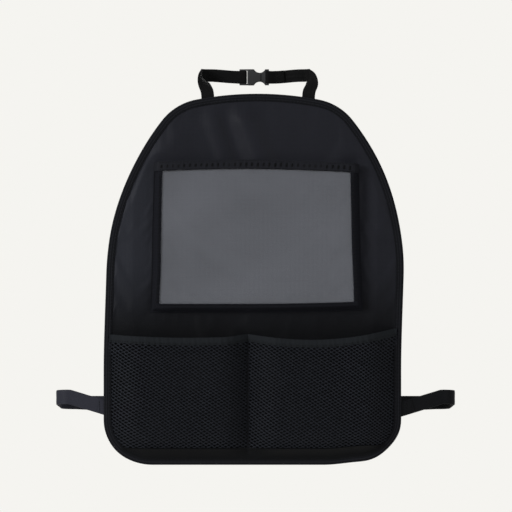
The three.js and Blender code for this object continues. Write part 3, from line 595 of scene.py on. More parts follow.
def half_outline(inset):
    """The panel's right edge from the top middle to the corner's foot, inset from the binding's edge."""
    crown_fall = math.asin(CROWN_HALF_WIDTH / CROWN_RADIUS)
    shoulder_sine = (
        PANEL_HALF_WIDTH - CROWN_HALF_WIDTH + SHOULDER_RADIUS * math.sin(crown_fall) - FLANK_RADIUS
    ) / (SHOULDER_RADIUS - FLANK_RADIUS)
    shoulder_fall = math.asin(shoulder_sine)

    def out(centre, by, fall):
        return (centre[0] + by * math.sin(fall), centre[1] + by * math.cos(fall))

    crown = (0.0, PANEL_TOP - CROWN_RADIUS)
    shoulder = out(crown, CROWN_RADIUS - SHOULDER_RADIUS, crown_fall)
    flank = out(shoulder, SHOULDER_RADIUS - FLANK_RADIUS, shoulder_fall)
    corner = (PANEL_HALF_WIDTH - CORNER_RADIUS, PANEL_BOTTOM + CORNER_RADIUS)
    arcs = (
        (crown, CROWN_RADIUS, 0.0, crown_fall, 14),
        (shoulder, SHOULDER_RADIUS, crown_fall, shoulder_fall, 14),
        (flank, FLANK_RADIUS, shoulder_fall, QUARTER, 34),
        (corner, CORNER_RADIUS, QUARTER, 2 * QUARTER, 20),
    )
    edge = []
    for centre, radius, start, end, steps in arcs:
        for i in range(steps):
            edge.append(out(centre, radius - inset, start + (end - start) * i / steps))
    edge.append((corner[0], corner[1] - CORNER_RADIUS + inset))
    straight_from = sum(arc[4] for arc in arcs[:3])
    side_top = out(flank, FLANK_RADIUS - inset, QUARTER)
    side_bottom = edge[straight_from]
    straight = [
        (side_top[0], side_top[1] + (side_bottom[1] - side_top[1]) * k / 24) for k in range(24)
    ]
    return edge[:straight_from] + straight + edge[straight_from:]


def whole_outline(inset):
    """The panel's whole edge, clockwise from the top middle, with points along the bottom too."""
    right = half_outline(inset)
    foot = right[-1]
    bottom = [(foot[0] * (1 - 2 * k / 36), foot[1]) for k in range(1, 36)]
    left = [(-x, z) for x, z in reversed(right[1:])]
    return right + bottom + left


def edge_heights(inset):
    """Tables of the panel's top and bottom heights against x, for x from 0 to its side."""
    right = half_outline(inset)
    side = PANEL_HALF_WIDTH - inset
    widest = max(range(len(right)), key=lambda k: (round(right[k][0], 4), -k))
    top = right[: widest + 1]
    foot = [p for p in right if p[1] < PANEL_BOTTOM + CORNER_RADIUS + 0.01]
    bottom = [(0.0, foot[-1][1])] + list(reversed(foot))
    return top, bottom, side


def window_seam_distance(x, z):
    """Distance to the seam that holds the tablet pocket's sides and bottom to the panel."""
    side = WINDOW_WIDTH / 2 + TAPE_FACE + TAPE_SLOPE + TAPE_FLANGE / 2
    top = WINDOW_HEIGHT / 2 + TAPE_TOP_RISE
    low = -WINDOW_HEIGHT / 2 - TAPE_FACE - TAPE_SLOPE - TAPE_FLANGE / 2
    z -= WINDOW_CENTRE_Z
    upright = math.hypot(abs(x) - side, max(low - z, z - top, 0.0))
    level = math.hypot(max(abs(x) - side, 0.0), z - low)
    return min(upright, level)


def divider_distance(x, z):
    return math.hypot(x - DIVIDER_X, max(z - elastic_z(RIGHT_POCKET, DIVIDER_X), 0.0))


def panel_swell(x, z):
    """How far the panel's face stands out where nothing holds it: a soft swell beside the tablet pocket, and
    folds that run down from the left strap's foot."""
    folds = soft_read(FOLDS, x + FOLD_SLANT * (z - FOLD_Z)) * smooth((z - 108) / 34)
    flank = 1.4 * smooth((abs(x) - 90) / 40) * smooth((z + 75) / 40)
    broad = 1.0 * ripple(x, z * 0.5, 70, 3.1) + 0.25 * ripple(x, z * 0.6, 31, 8.4)
    return 1.6 + broad + flank + folds


def settle(rows, held, slack, frames):
    """Simulates a sheet of cloth held at some points, with more cloth than room. Gives its settled points."""
    high, wide = len(rows), len(rows[0])
    quads = [
        (j * wide + i, j * wide + i + 1, (j + 1) * wide + i + 1, (j + 1) * wide + i)
        for j in range(high - 1)
        for i in range(wide - 1)
    ]
    mesh = bpy.data.meshes.new("settling")
    mesh.from_pydata([p * MM for row in rows for p in row], [], quads)
    sheet = bpy.data.objects.new("settling", mesh)
    scene = bpy.context.scene
    scene.collection.objects.link(sheet)
    seams = sheet.vertex_groups.new(name="seams")
    seams.add(held, 1.0, "REPLACE")
    cloth = sheet.modifiers.new("cloth", "CLOTH")
    settings = cloth.settings
    settings.quality = 5
    settings.mass = 0.02
    settings.vertex_group_mass = "seams"
    settings.shrink_min = -slack
    settings.tension_stiffness = 25
    settings.compression_stiffness = 25
    settings.shear_stiffness = 10
    settings.bending_stiffness = 8.0
    cloth.collision_settings.use_collision = False
    cloth.point_cache.frame_start = 1
    cloth.point_cache.frame_end = frames
    for moment in range(1, frames + 1):
        scene.frame_set(moment)
    settled = sheet.evaluated_get(bpy.context.evaluated_depsgraph_get())
    points = [v.co / MM for v in settled.data.vertices]
    scene.frame_set(1)
    bpy.data.objects.remove(sheet)
    bpy.data.meshes.remove(mesh)
    return [points[j * wide : (j + 1) * wide] for j in range(high)]


def oxford_panel(finish):
    """The padded cloth panel, its front settled by simulation between the seams that hold it."""
    top, bottom, side = edge_heights(1.2)
    inner_top, inner_bottom, inner_side = edge_heights(BINDING_WIDTH - 0.5)
    columns, lines = 150, 110
    front, back, reaches = [], [], []
    for j in range(lines + 1):
        front.append([])
        back.append([])
        for i in range(columns + 1):
            x = side * math.sin(QUARTER * (2 * i / columns - 1))
            low, high = read_off(bottom, abs(x)), read_off(top, abs(x))
            share = (1 - math.cos(math.pi * j / lines)) / 2
            z = low + (high - low) * (0.25 * share + 0.75 * j / lines)
            near = min(abs(x), inner_side)
            reach = min(
                inner_side - abs(x), read_off(inner_top, near) - z, z - read_off(inner_bottom, near)
            )
            rim = smooth((reach + 2) / 3)
            sewn = min(window_seam_distance(x, z), divider_distance(x, z))
            seam = min(reach, sewn)
            reaches.append(seam)
            free = smooth(seam / 28)
            drawn_in = 0.5 * (1 - smooth(sewn / 8))
            front[-1].append(Vector((x, -1.7 - 0.3 * rim - free * panel_swell(x, z), z)))
            slack = 0.35 * free * (1 + ripple(x, z, 45, 6.0))
            back[-1].append(Vector((x, -0.9 + 0.9 * rim - drawn_in - slack, z)))
    held = [k for k, seam in enumerate(reaches) if seam < 2.2]
    settled = settle(front, held, PANEL_SLACK, CLOTH_FRAMES)
    for row, new_row in zip(front, settled):
        for point, new in zip(row, new_row):
            fold = min(max(point.y - new.y, -0.5), PANEL_DEEPEST_FOLD)
            point.y -= fold
            point.x, point.z = new.x, new.z
    for row in front:
        for point in row:
            pocket = LEFT_POCKET if point.x < DIVIDER_X else RIGHT_POCKET
            if point.z < elastic_z(pocket, point.x) + ELASTIC_HEIGHT:
                point.y = max(point.y, pocket_y(pocket, point.x, point.z) + 1.0)
    points = [p for row in front + back for p in row]
    faces = sheet_faces(columns, lines)
    return make_piece("panel_cloth", points, faces, finish, ["back_panel"])


def pocket_layers(z):
    """How much thicker the binding is where it also holds the pockets' cloth."""
    return 0.9 * smooth((-58 - z) / 12)


def bound_edge(finish, thread):
    """The binding, folded over the panel's edge, and its row of stitches on both faces."""
    section = (
        (9.0, -2.1, 1),
        (8.7, -2.75, 1),
        (6.6, -2.75, 1),
        (3.6, -3.0, 1),
        (1.2, -2.7, 1),
        (0.1, -1.9, 0.6),
        (0.0, -1.2, 0.3),
        (0.2, -0.45, 0),
        (1.2, 0.0, 0),
        (5.0, 0.15, 0),
        (8.7, 0.0, 0),
        (9.0, -0.5, 0),
        (1.0, -0.8, 0),
        (1.0, -1.75, 0.5),
    )
    loops = [whole_outline(inset) for inset, _, _ in section]
    rings = []
    for k in range(len(loops[0])):
        ring = []
        for (inset, y, grow), loop in zip(section, loops):
            x, z = loop[k]
            wave = 0.22 * ripple(x * 1.7, z * 1.7, 22, inset)
            ring.append(Vector((x, y - grow * (pocket_layers(z) + wave), z)))
        rings.append(ring)
    tape_piece("bound_edge", rings, finish, ["edge_binding"], 60, closed=True)
    seams = []
    for y, outward in ((-2.8, -1), (0.05, 1)):
        loop = whole_outline(6.9)
        path = [
            Vector((x, y - (pocket_layers(z) if outward < 0 else 0), z)) for x, z in loop + loop[:1]
        ]
        seams += seam_along(path, Vector((0, outward, 0)), 3.6)
    stitches("bound_edge_stitches", seams, thread)


def lean(point):
    """Gives a point of the tablet pocket its final place. The pocket's sides lean out towards the bottom, its
    mouth sags at both ends and its bottom edge rises a little at the right."""
    mouth = smooth(point.z / (WINDOW_HEIGHT / 2))
    foot = smooth(-point.z / (WINDOW_HEIGHT / 2))
    x = point.x * (1 - WINDOW_TAPER * point.z / (WINDOW_HEIGHT / 2)) + WINDOW_SHIFT * foot
    x += LEFT_EASE * smooth(-x / 112) * smooth((point.z + 78) / 50)
    z = point.z + FOOT_RISE * max(x + 10, 0) ** 2 * foot
    z += WINDOW_CENTRE_Z + (MOUTH_RISE - MOUTH_SAG * (x - MOUTH_HIGH_X) ** 2) * mouth
    return Vector((x - top_lean(z), point.y - PANEL_THICKNESS, z))


FILM_BACK = -POCKET_DEPTH
TAPE_BACK = FILM_BACK - FILM_THICKNESS - GAP


def window_film(finish):
    """The clear film, a little slack, with slow ripples that its tapes pull flat."""
    half_x = WINDOW_WIDTH / 2 + FILM_OVERLAP
    half_z = WINDOW_HEIGHT / 2 + FILM_OVERLAP
    rows = []
    for j in range(49):
        row = []
        for i in range(65):
            x = half_x * (i / 32 - 1)
            z = half_z * (j / 24 - 1)
            slack = smooth((half_x - abs(x)) / 30) * smooth((half_z - abs(z)) / 26)
            wave = 1.3 * ripple(x * 0.6, z, 46, 2.2) + 0.4 * ripple(x, z * 1.4, 21, 5.0)
            row.append(lean(Vector((x, FILM_BACK - FILM_THICKNESS / 2 + slack * (wave + 0.4), z))))
        rows.append(row)
    points, faces = thick_sheet(rows, FILM_THICKNESS)
    return make_piece("window_vinyl", points, faces, finish, ["window_film"])


def window_edge_tape(finish, thread):
    """One tape down, along and up round the film, mitred at the corners, with its zigzag stitches."""
    t = TAPE_THICKNESS
    slope_end = TAPE_FACE + TAPE_SLOPE
    outer = slope_end + TAPE_FLANGE
    section = [
        (0.0, TAPE_BACK - 0.1),
        (0.15, TAPE_BACK - t),
        (TAPE_FACE * 0.5, TAPE_BACK - t - 0.25),
        (TAPE_FACE, TAPE_BACK - t - 0.05),
        (TAPE_FACE + t, TAPE_BACK - t + 0.5),
        (slope_end + t - 0.3, -GAP - t - 0.8),
        (slope_end + t + 0.6, -GAP - t - 0.1),
        (outer - 0.2, -GAP - t),
        (outer, -GAP),
        (slope_end, -GAP),
        (TAPE_FACE, TAPE_BACK),
    ]
    x = WINDOW_WIDTH / 2
    top = WINDOW_HEIGHT / 2 + TAPE_TOP_RISE
    bottom = -WINDOW_HEIGHT / 2
    route = [(-x, z, -1, 0) for z in (top, 60, 40, 20, 0, -20, -40, -60)]
    route += [(-x, bottom, -1, -1)]
    route += [(x * k / 6, bottom, 0, -1) for k in range(-5, 6)]
    route += [(x, bottom, 1, -1)]
    route += [(x, z, 1, 0) for z in (-60, -40, -20, 0, 20, 40, 60, top)]
    rings = []
    for px, pz, ux, uz in route:
        wave = 0.2 * ripple(px, pz, 24, 7.7)
        rings.append(
            [lean(Vector((px + ux * out, y + wave * (y < -4), pz + uz * out))) for out, y in section]
        )
    tape_piece("window_edge_tape", rings, finish, ["window_tape"])
    seams = []
    face_y = TAPE_BACK - t - 0.3
    for side in (-1, 1):
        z = bottom + 1.5
        while z < top - MOUTH_TAPE_HEIGHT + 2:
            for above in (0.0, 0.9):
                place = lean(Vector((side * (x + 2.3), face_y, z + above)))
                seams.append((place, Vector((1, 0, 0.12)), FORWARD))
            z += 4.3
    path = [lean(Vector((px, face_y, bottom - 2.0))) for px in (-x, 0, x)]
    seams += seam_along(path, FORWARD, 3.2)
    stitches("window_tape_stitches", seams, thread, 0.8, 3.6)
    path = [lean(Vector((px, -GAP - t - 0.1, bottom - outer + 1.2))) for px in (-x, 0, x)]
    seams = seam_along(path, FORWARD, 3.2)
    for side in (-1, 1):
        path = [lean(Vector((side * (x + outer - 1.2), -GAP - t - 0.1, z))) for z in (bottom, top - 6)]
        seams += seam_along(path, FORWARD, 3.2)
    stitches("window_flange_stitches", seams, thread, 0.6, 2.5)


def mouth_tape(finish, thread):
    """The tape along the open top, over the ends of the side tape, with upright bar stitches."""
    t = TAPE_THICKNESS
    over = t + GAP + t / 2
    start = WINDOW_WIDTH / 2 + TAPE_FACE
    z = (WINDOW_HEIGHT + MOUTH_TAPE_HEIGHT) / 2
    face_y = TAPE_BACK - over
    half = [
        (start + over - 2.0, face_y),
        (start + over, face_y + 0.8),
        (start + TAPE_SLOPE + over - 0.4, -GAP - over - 1.4),
        (start + TAPE_SLOPE + over + 0.6, -GAP - over - 0.1),
        (start + TAPE_SLOPE + TAPE_FLANGE + 0.1, -GAP - over),
    ]
    middle = [(start * k / 12, face_y) for k in range(-11, 12)]
    route = [(-x, y) for x, y in reversed(half)] + middle + half
    path = [Vector((x, y + 0.35 * ripple(x, 3.0, 30, 1.4) * (y < -8), z)) for x, y in route]
    rings = strap_rings(path, [UP] * len(path), MOUTH_TAPE_HEIGHT, t, 0.05)
    rings = [[lean(p) for p in ring] for ring in rings]
    tape_piece("pocket_mouth_tape", rings, finish, ["mouth_tape"])
    seams = []
    x = -start + 3.0
    while x < start - 2.0:
        for aside in (-0.8, 0.0, 0.8):
            place = Vector((x + aside, face_y - t / 2 - 0.05, z - 0.4 + 0.8 * ripple(x, aside, 9, 2.0)))
            seams.append((lean(place), Vector((0.1, 0, 1)), FORWARD))
        x += 6.8 + 0.5 * ripple(x, 0, 11, 5.0)
    stitches("mouth_bar_tacks", seams, thread, 0.8, 5.2)
    seams = []
    for height in (-4.3, 4.3):
        path = [lean(Vector((px, face_y - t / 2 - 0.1, z + height))) for px in (-start, 0, start)]
        seams += seam_along(path, FORWARD, 3.0)
    stitches("mouth_edge_stitches", seams, thread, 0.55, 2.3)


def closure_strip(name, node, finish, front_y):
    """One strip of the hook-and-loop closure, a little uneven along its edges."""
    bottom = WINDOW_HEIGHT / 2 + FILM_OVERLAP + GAP
    rows = []
    for j in range(7):
        row = []
        for i in range(81):
            x = CLOSURE_LENGTH * (i / 80 - 0.5)
            z = bottom + CLOSURE_HEIGHT * j / 6
            y = front_y + CLOSURE_THICKNESS / 2 + 0.04 * ripple(x, z, 6, 4.0)
            row.append(lean(Vector((x, y, z))))
        rows.append(row)
    points, faces = thick_sheet(rows, CLOSURE_THICKNESS)
    make_piece(name, points, faces, finish, [node])


def pocket_edges(pocket):
    side = pocket["side"]
    outer = side * (PANEL_HALF_WIDTH - BINDING_WIDTH - GAP)
    inner = DIVIDER_X + side * GAP
    return outer, inner


def elastic_z(pocket, x):
    """Height of the middle of a pocket's elastic, which sags between its sewn ends."""
    outer, inner = pocket_edges(pocket)
    s = (x - inner) / (outer - inner)
    straight = pocket["inner"] + (pocket["outer"] - pocket["inner"]) * s
    straight += (RIGHT_POCKET["inner"] - pocket["inner"]) * smooth(1 - abs(x - DIVIDER_X) / 26)
    return PANEL_BOTTOM + straight - pocket["sag"] * math.sin(math.pi * min(max(s, 0.0), 1.0))


def floor_z(x, inset=BINDING_WIDTH + GAP):
    corner_x = PANEL_HALF_WIDTH - CORNER_RADIUS
    radius = CORNER_RADIUS - inset
    past = min(max(abs(x) - corner_x, 0.0), radius)
    return PANEL_BOTTOM + CORNER_RADIUS - math.sqrt(radius * radius - past * past)


def pocket_y(pocket, x, z):
    """The middle surface of a pocket's cloth, which swells out of its seams."""
    outer, inner = pocket_edges(pocket)
    low, high = min(outer, inner), max(outer, inner)
    foot = elastic_z(pocket, x) - ELASTIC_HEIGHT / 2
    height = min(z, foot)
    swell = (
        ease((x - low) / pocket["rise"])
        * ease((high - x) / pocket["rise"])
        * ease((height - floor_z(x)) / BOTTOM_RISE)
    )
    lift = ease((height - foot + ELASTIC_BLEND) / ELASTIC_BLEND)
    stand_off = GAP + NET_THICKNESS / 2 + lift * (ELASTIC_THICKNESS + GAP)
    slack = 0.7 * ripple(x, height, 34, pocket["side"] * 2.5) * swell
    return -(PANEL_THICKNESS + stand_off + pocket["depth"] * swell + slack)


def pocket_point(pocket, x, z, out=0.0):
    """A point on the pocket's surface, moved out from it by a distance along its normal."""
    y = pocket_y(pocket, x, z)
    if not out:
        return Vector((x, y, z))
    slope_x = pocket_y(pocket, x + 0.5, z) - pocket_y(pocket, x - 0.5, z)
    slope_z = pocket_y(pocket, x, z + 0.5) - pocket_y(pocket, x, z - 0.5)
    normal = Vector((slope_x, -1.0, slope_z)).normalized()
    return Vector((x, y, z)) + normal * out


def net_wall(name, node, pocket, finish):
    """A knitted net over the pocket's surface: staggered diamond meshes with rounded strands between."""
    inner = pocket_edges(pocket)[1]
    side = pocket["side"]
    half_x, half_z = MESH_HALF_PITCH
    binding = side * (PANEL_HALF_WIDTH - 5.0)
    low_x, high_x = min(inner, binding), max(inner, binding)
    middle_x, middle_z = (low_x + high_x) / 2, PANEL_BOTTOM + 80
    turn = Vector((math.cos(NET_TURN), math.sin(NET_TURN)))
    # The strands that fall to the right are drawn the tighter, so their edge of a mesh is the thicker.
    hole_shape = (
        (4, 0, 0.70),
        (2, 2, 0.70),
        (0, 4, 0.70),
        (-2, 2, 0.80),
        (-4, 0, 0.70),
        (-2, -2, 0.70),
        (0, -4, 0.70),
        (2, -2, 0.80),
    )

    def spread(u, v):
        """Where a point of the net lies, counted in quarters of a mesh's half widths from the middle."""
        right, up = u * half_x / 4, v * half_z / 4
        aside, aloft = 0.8 * ripple(right, up, 37, side * 4.0), 0.8 * ripple(up, right, 31, side * 6.0)
        right, up = right + aside, up + aloft
        return middle_x + right * turn.x + up * turn.y, middle_z - right * turn.y + up * turn.x

    points = []
    places = {}

    def corner(u, v, out):
        key = (u, v, out)
        if key not in places:
            places[key] = len(points)
            x, z = spread(u, v)
            points.append(pocket_point(pocket, min(max(x, low_x), high_x), z, out))
        return places[key]

    faces = []
    columns = int((high_x - low_x) / half_x / 2) + 5
    lines = int(90 / half_z) + 8
    for i in range(-columns, columns + 1):
        for j in range(-lines, lines + 1):
            if (i + j) % 2:
                continue
            x, z = spread(4 * i, 4 * j)
            roof = elastic_z(pocket, x) + 2.0
            outside = x > high_x + 2.5 or x < low_x - 2.5
            if outside or z > roof or z < max(floor_z(x, 6.0), BAND_TOP - 5.0):
                continue
            rims = [(4 * i + u, 4 * j + v) for u, v, _ in hole_shape]
            holes = [(4 * i + u * s, 4 * j + v * s) for u, v, s in hole_shape]
            loops = [
                [corner(*p, 0.42) for p in rims],
                [corner(*p, 0.14) for p in holes],
                [corner(*p, -0.14) for p in holes],
                [corner(*p, -0.42) for p in rims],
            ]
            for k in range(8):
                m = (k + 1) % 8
                for one, two in zip(loops, loops[1:]):
                    a, b, c, d = (points[n] for n in (one[k], one[m], two[m], two[k]))
                    if (c - a).cross(d - b).length > 0.01:
                        faces.append((one[k], one[m], two[m], two[k]))
    return make_piece(name, points, faces, finish, [node], sharp=180)


def elastic_top(name, node, pocket, finish, thread):
    """The elastic folded over a pocket's top edge, gathered a little, with its row of stitches."""
    slot = NET_THICKNESS / 2 + GAP * 0.4
    outer = slot + ELASTIC_THICKNESS
    h = ELASTIC_HEIGHT / 2
    section = (
        (-slot, -h),
        (-outer, -h + 0.3),
        (-outer - 0.25, 0.0),
        (-outer, h - 0.8),
        (-outer * 0.5, h),
        (outer * 0.5, h),
        (outer, h - 0.8),
        (outer + 0.1, 0.0),
        (outer, -h + 0.3),
        (slot, -h),
        (slot, h - 1.2),
        (-slot, h - 1.2),
    )
    start = pocket_edges(pocket)[0] + pocket["side"] * 3.0
    end = DIVIDER_X + pocket["side"] * 0.05
    rings = []
    steps = 150
    for i in range(steps + 1):
        x = start + (end - start) * i / steps
        z = elastic_z(pocket, x)
        y = pocket_y(pocket, x, z)
        gather = 0.2 * math.sin(x * 0.8 + 2.5 * ripple(x, 0.0, 17, 1.0))
        gather *= smooth(min(abs(x - start), abs(x - end)) / 12)
        rings.append(
            [
                Vector((x, y + u + gather * (1 if abs(u) > slot else 0), z + v + 0.25 * gather))
                for u, v in section
            ]
        )
    tape_piece(name, rings, finish, [node], 60)
    path = [ring[0] + Vector((0, -ELASTIC_THICKNESS - 0.25, 1.9)) for ring in rings]
    seams = seam_along(path, FORWARD, 3.4)
    stitches(name + "_stitches", seams, thread, 0.6, 2.4)


def bottom_band(finish, thread):
    """The plain cloth band under both nets, its top edge turned under and stitched."""
    reach = PANEL_HALF_WIDTH - CORNER_RADIUS + math.sqrt(
        (CORNER_RADIUS - 6.0) ** 2 - (CORNER_RADIUS - (BAND_TOP - PANEL_BOTTOM)) ** 2
    )
    rows = []
    for j in range(13):
        row = []
        for i in range(201):
            x = reach * (i / 100 - 1)
            pocket = LEFT_POCKET if x < DIVIDER_X else RIGHT_POCKET
            low = floor_z(x, 6.0)
            z = low + (BAND_TOP - low) * j / 12
            fold = 0.25 * smooth((j - 9) / 2)
            wave = 0.3 * ripple(x, z, 20, 9.0) * smooth(j / 4)
            point = pocket_point(pocket, x, z)
            point.y -= 0.75 + fold + wave
            row.append(point)
        rows.append(row)
    points, faces = thick_sheet(rows, NET_THICKNESS)
    stands_for = ["pocket_bottom_band"]
    band = make_piece("pocket_floor_band", points, faces, finish, stands_for)
    path = [p + Vector((0, -0.6, -2.6)) for p in rows[-1]]
    stitches("floor_band_stitches", seam_along(path, FORWARD, 3.4), thread, 0.6)
    return band


def back_stitches(thread):
    """The pockets' seams where they come through on the panel's back."""
    side = WINDOW_WIDTH / 2 + TAPE_FACE + TAPE_SLOPE + TAPE_FLANGE - 1.2
    foot = -WINDOW_HEIGHT / 2 - TAPE_FACE - TAPE_SLOPE - TAPE_FLANGE + 1.2
    top = WINDOW_HEIGHT / 2 + TAPE_TOP_RISE
    depth = -0.2
    routes = [[(-side, foot), (0, foot), (side, foot)]]
    routes += [[(s * side, foot), (s * side, 0), (s * side, top)] for s in (-1, 1)]
    seams = []
    for route in routes:
        path = [lean(Vector((x, depth + PANEL_THICKNESS, z))) for x, z in route]
        seams += seam_along(path, BACKWARD, 3.2)
    top = elastic_z(RIGHT_POCKET, DIVIDER_X)
    path = [Vector((DIVIDER_X, depth, z)) for z in (PANEL_BOTTOM + BINDING_WIDTH, top)]
    seams += seam_along(path, BACKWARD, 3.4)
    stitches("back_stitches", seams, thread, 0.8, 2.5)


def divider_seam(finish, thread):
    """The upright seam between the two nets: a narrow folded edge held by a row of stitches."""
    path = []
    z = BAND_TOP - 4
    top = elastic_z(RIGHT_POCKET, DIVIDER_X) - ELASTIC_HEIGHT / 2
    while z < top:
        path.append(Vector((DIVIDER_X, -PANEL_THICKNESS - 1.6, z)))
        z += 4
    path.append(Vector((DIVIDER_X, -PANEL_THICKNESS - 2.0, top + 3)))
    rings = strap_rings(path, [RIGHT] * len(path), 2.4, 0.7, 0.1)
    tape_piece("divider_seam", rings, finish, sharp=40)
    places = seam_along([p + Vector((0, -0.5, 0)) for p in path], FORWARD, 3.4)
    stitches("divider_stitches", places, thread, 0.6, 2.5)


def strap_rise(side):
    """The headrest strap from its sewn end on the panel's back to the far side of a post."""
    back_y = GAP + WEBBING_THICKNESS / 2
    outer = POST_X + WRAP_RADIUS
    seat = STRAP_SEAT_X[side]
    middle = outer + (seat - POST_X) / 2 - STRAP_BULGE / 4
    sewn = BINDING_WIDTH / STRAP_RISE
    stations = (
        (seat, 0.0, -sewn, 0.0),
        (seat, 0.0, -sewn / 3, 0.0),
        (seat + STRAP_BULGE / 4, 0.06, 0.16, 0.0),
        (seat + STRAP_BULGE, 0.28, 0.46, 0.12),
        (middle, 0.54, 0.76, 0.55),
        (outer, 0.79, 0.94, 0.93),
        (outer, 1.0, 1.0, 1.0),
    )
    path = spline(
        [
            Vector(
                (
                    side * x,
                    back_y + (POST_SETBACK - back_y) * back,
                    PANEL_TOP + STRAP_RISE * up + STRAP_BOW * smooth(up),
                )
            )
            for x, back, up, _ in stations
        ],
        8,
    )
    turns = spline([Vector((t, 0, 0)) for _, _, _, t in stations], 8)
    widths = [
        Vector((side * math.cos(QUARTER * t.x), 0, math.sin(QUARTER * t.x))) for t in turns
    ]
    for i in range(1, 11):
        a = QUARTER * i / 10
        x, y = POST_X + WRAP_RADIUS * math.cos(a), POST_SETBACK + WRAP_RADIUS * math.sin(a)
        path.append(Vector((side * x, y, STRAP_Z + STRAP_BOW)))
        widths.append(UP.copy())
    return path, widths


def bar_turn(bar_x, side, front_first, reach=TURN_RADIUS):
    """Half a turn of webbing round a bar, from one face of the buckle to the other."""
    turn = []
    for i in range(11):
        a = -QUARTER + math.pi * i / 10
        y = BUCKLE_Y + TURN_RADIUS * math.sin(a) * (1 if front_first else -1)
        turn.append(Vector((bar_x - side * reach * math.cos(a), y, STRAP_Z)))
    return turn


def webbing_strap(name, node, side, level, finish):
    """One half of the headrest strap, with finer points along its level run."""
    path, widths = strap_rise(side)
    run = [path[-1]]
    for point in level:
        gap = point - run[-1]
        pieces = max(1, int(gap.length / 5))
        run += [run[-1] + gap * (k / pieces) for k in range(1, pieces + 1)]
    for point in run:
        point.z = STRAP_Z + STRAP_BOW * smooth((abs(point.x) - 20) / 34)
    path += run[1:]
    widths += [UP.copy()] * (len(path) - len(widths))
    rings = strap_rings(path, widths, WEBBING_WIDTH, WEBBING_THICKNESS, 0.1)
    tape_piece(name, rings, finish, [node], hung=False)


def box_seam(centre, along, across, out, length, width, pitch=2.6):
    """A sewn box with a cross in it, as holds the end of a strap."""
    ends = [
        centre + along * (a * length / 2) + across * (b * width / 2)
        for a, b in ((-1, -1), (1, -1), (1, 1), (-1, 1))
    ]
    seams = []
    for a, b in ((0, 1), (1, 2), (2, 3), (3, 0), (0, 2), (1, 3)):
        seams += seam_along([ends[a], ends[b]], out, pitch)
    return seams


def headrest_straps(finish, thread):
    layer = WEBBING_THICKNESS + GAP
    tail_y = FRONT_LAYER_Y + layer
    outer_bar = OUTER_LADDER_X - BAR_RADIUS - GAP
    left_level = bar_turn(INNER_LADDER_X, -1, True)
    left_level += [Vector((outer_bar, BACK_LAYER_Y, STRAP_Z))]
    left_level += [Vector((outer_bar - 5, tail_y, STRAP_Z)), Vector((-49.0, tail_y + 0.4, STRAP_Z))]
    webbing_strap("left_webbing", "left_head_strap", -1, left_level, finish)
    sewn_y = BACK_LAYER_Y - layer
    clear = PLUG_BAR_X + BAR_RADIUS
    bend = clear + 2 * TURN_RADIUS
    end = bend + SEWN_END_LENGTH
    right_level = [Vector((end + 2, BACK_LAYER_Y, STRAP_Z))] + bar_turn(PLUG_BAR_X, 1, False, 2.9)
    for x, y in ((clear, BUCKLE_Y - TURN_RADIUS), (bend, sewn_y), (end, sewn_y)):
        right_level.append(Vector((x, y, STRAP_Z)))
    webbing_strap("right_webbing", "right_head_strap", 1, right_level, finish)
    seams = box_seam(
        Vector((bend + 7.5, sewn_y - 0.8, STRAP_Z)), RIGHT, UP, FORWARD, 10, 11
    )
    for side in (-1, 1):
        foot = Vector((side * POST_X, 0.3 + WEBBING_THICKNESS + 0.2, PANEL_TOP - 6.2))
        seams += box_seam(foot, RIGHT, UP, BACKWARD, 11, 3.6)
    stitches("webbing_stitches", seams, thread, 0.6, 2.2, hung=False)


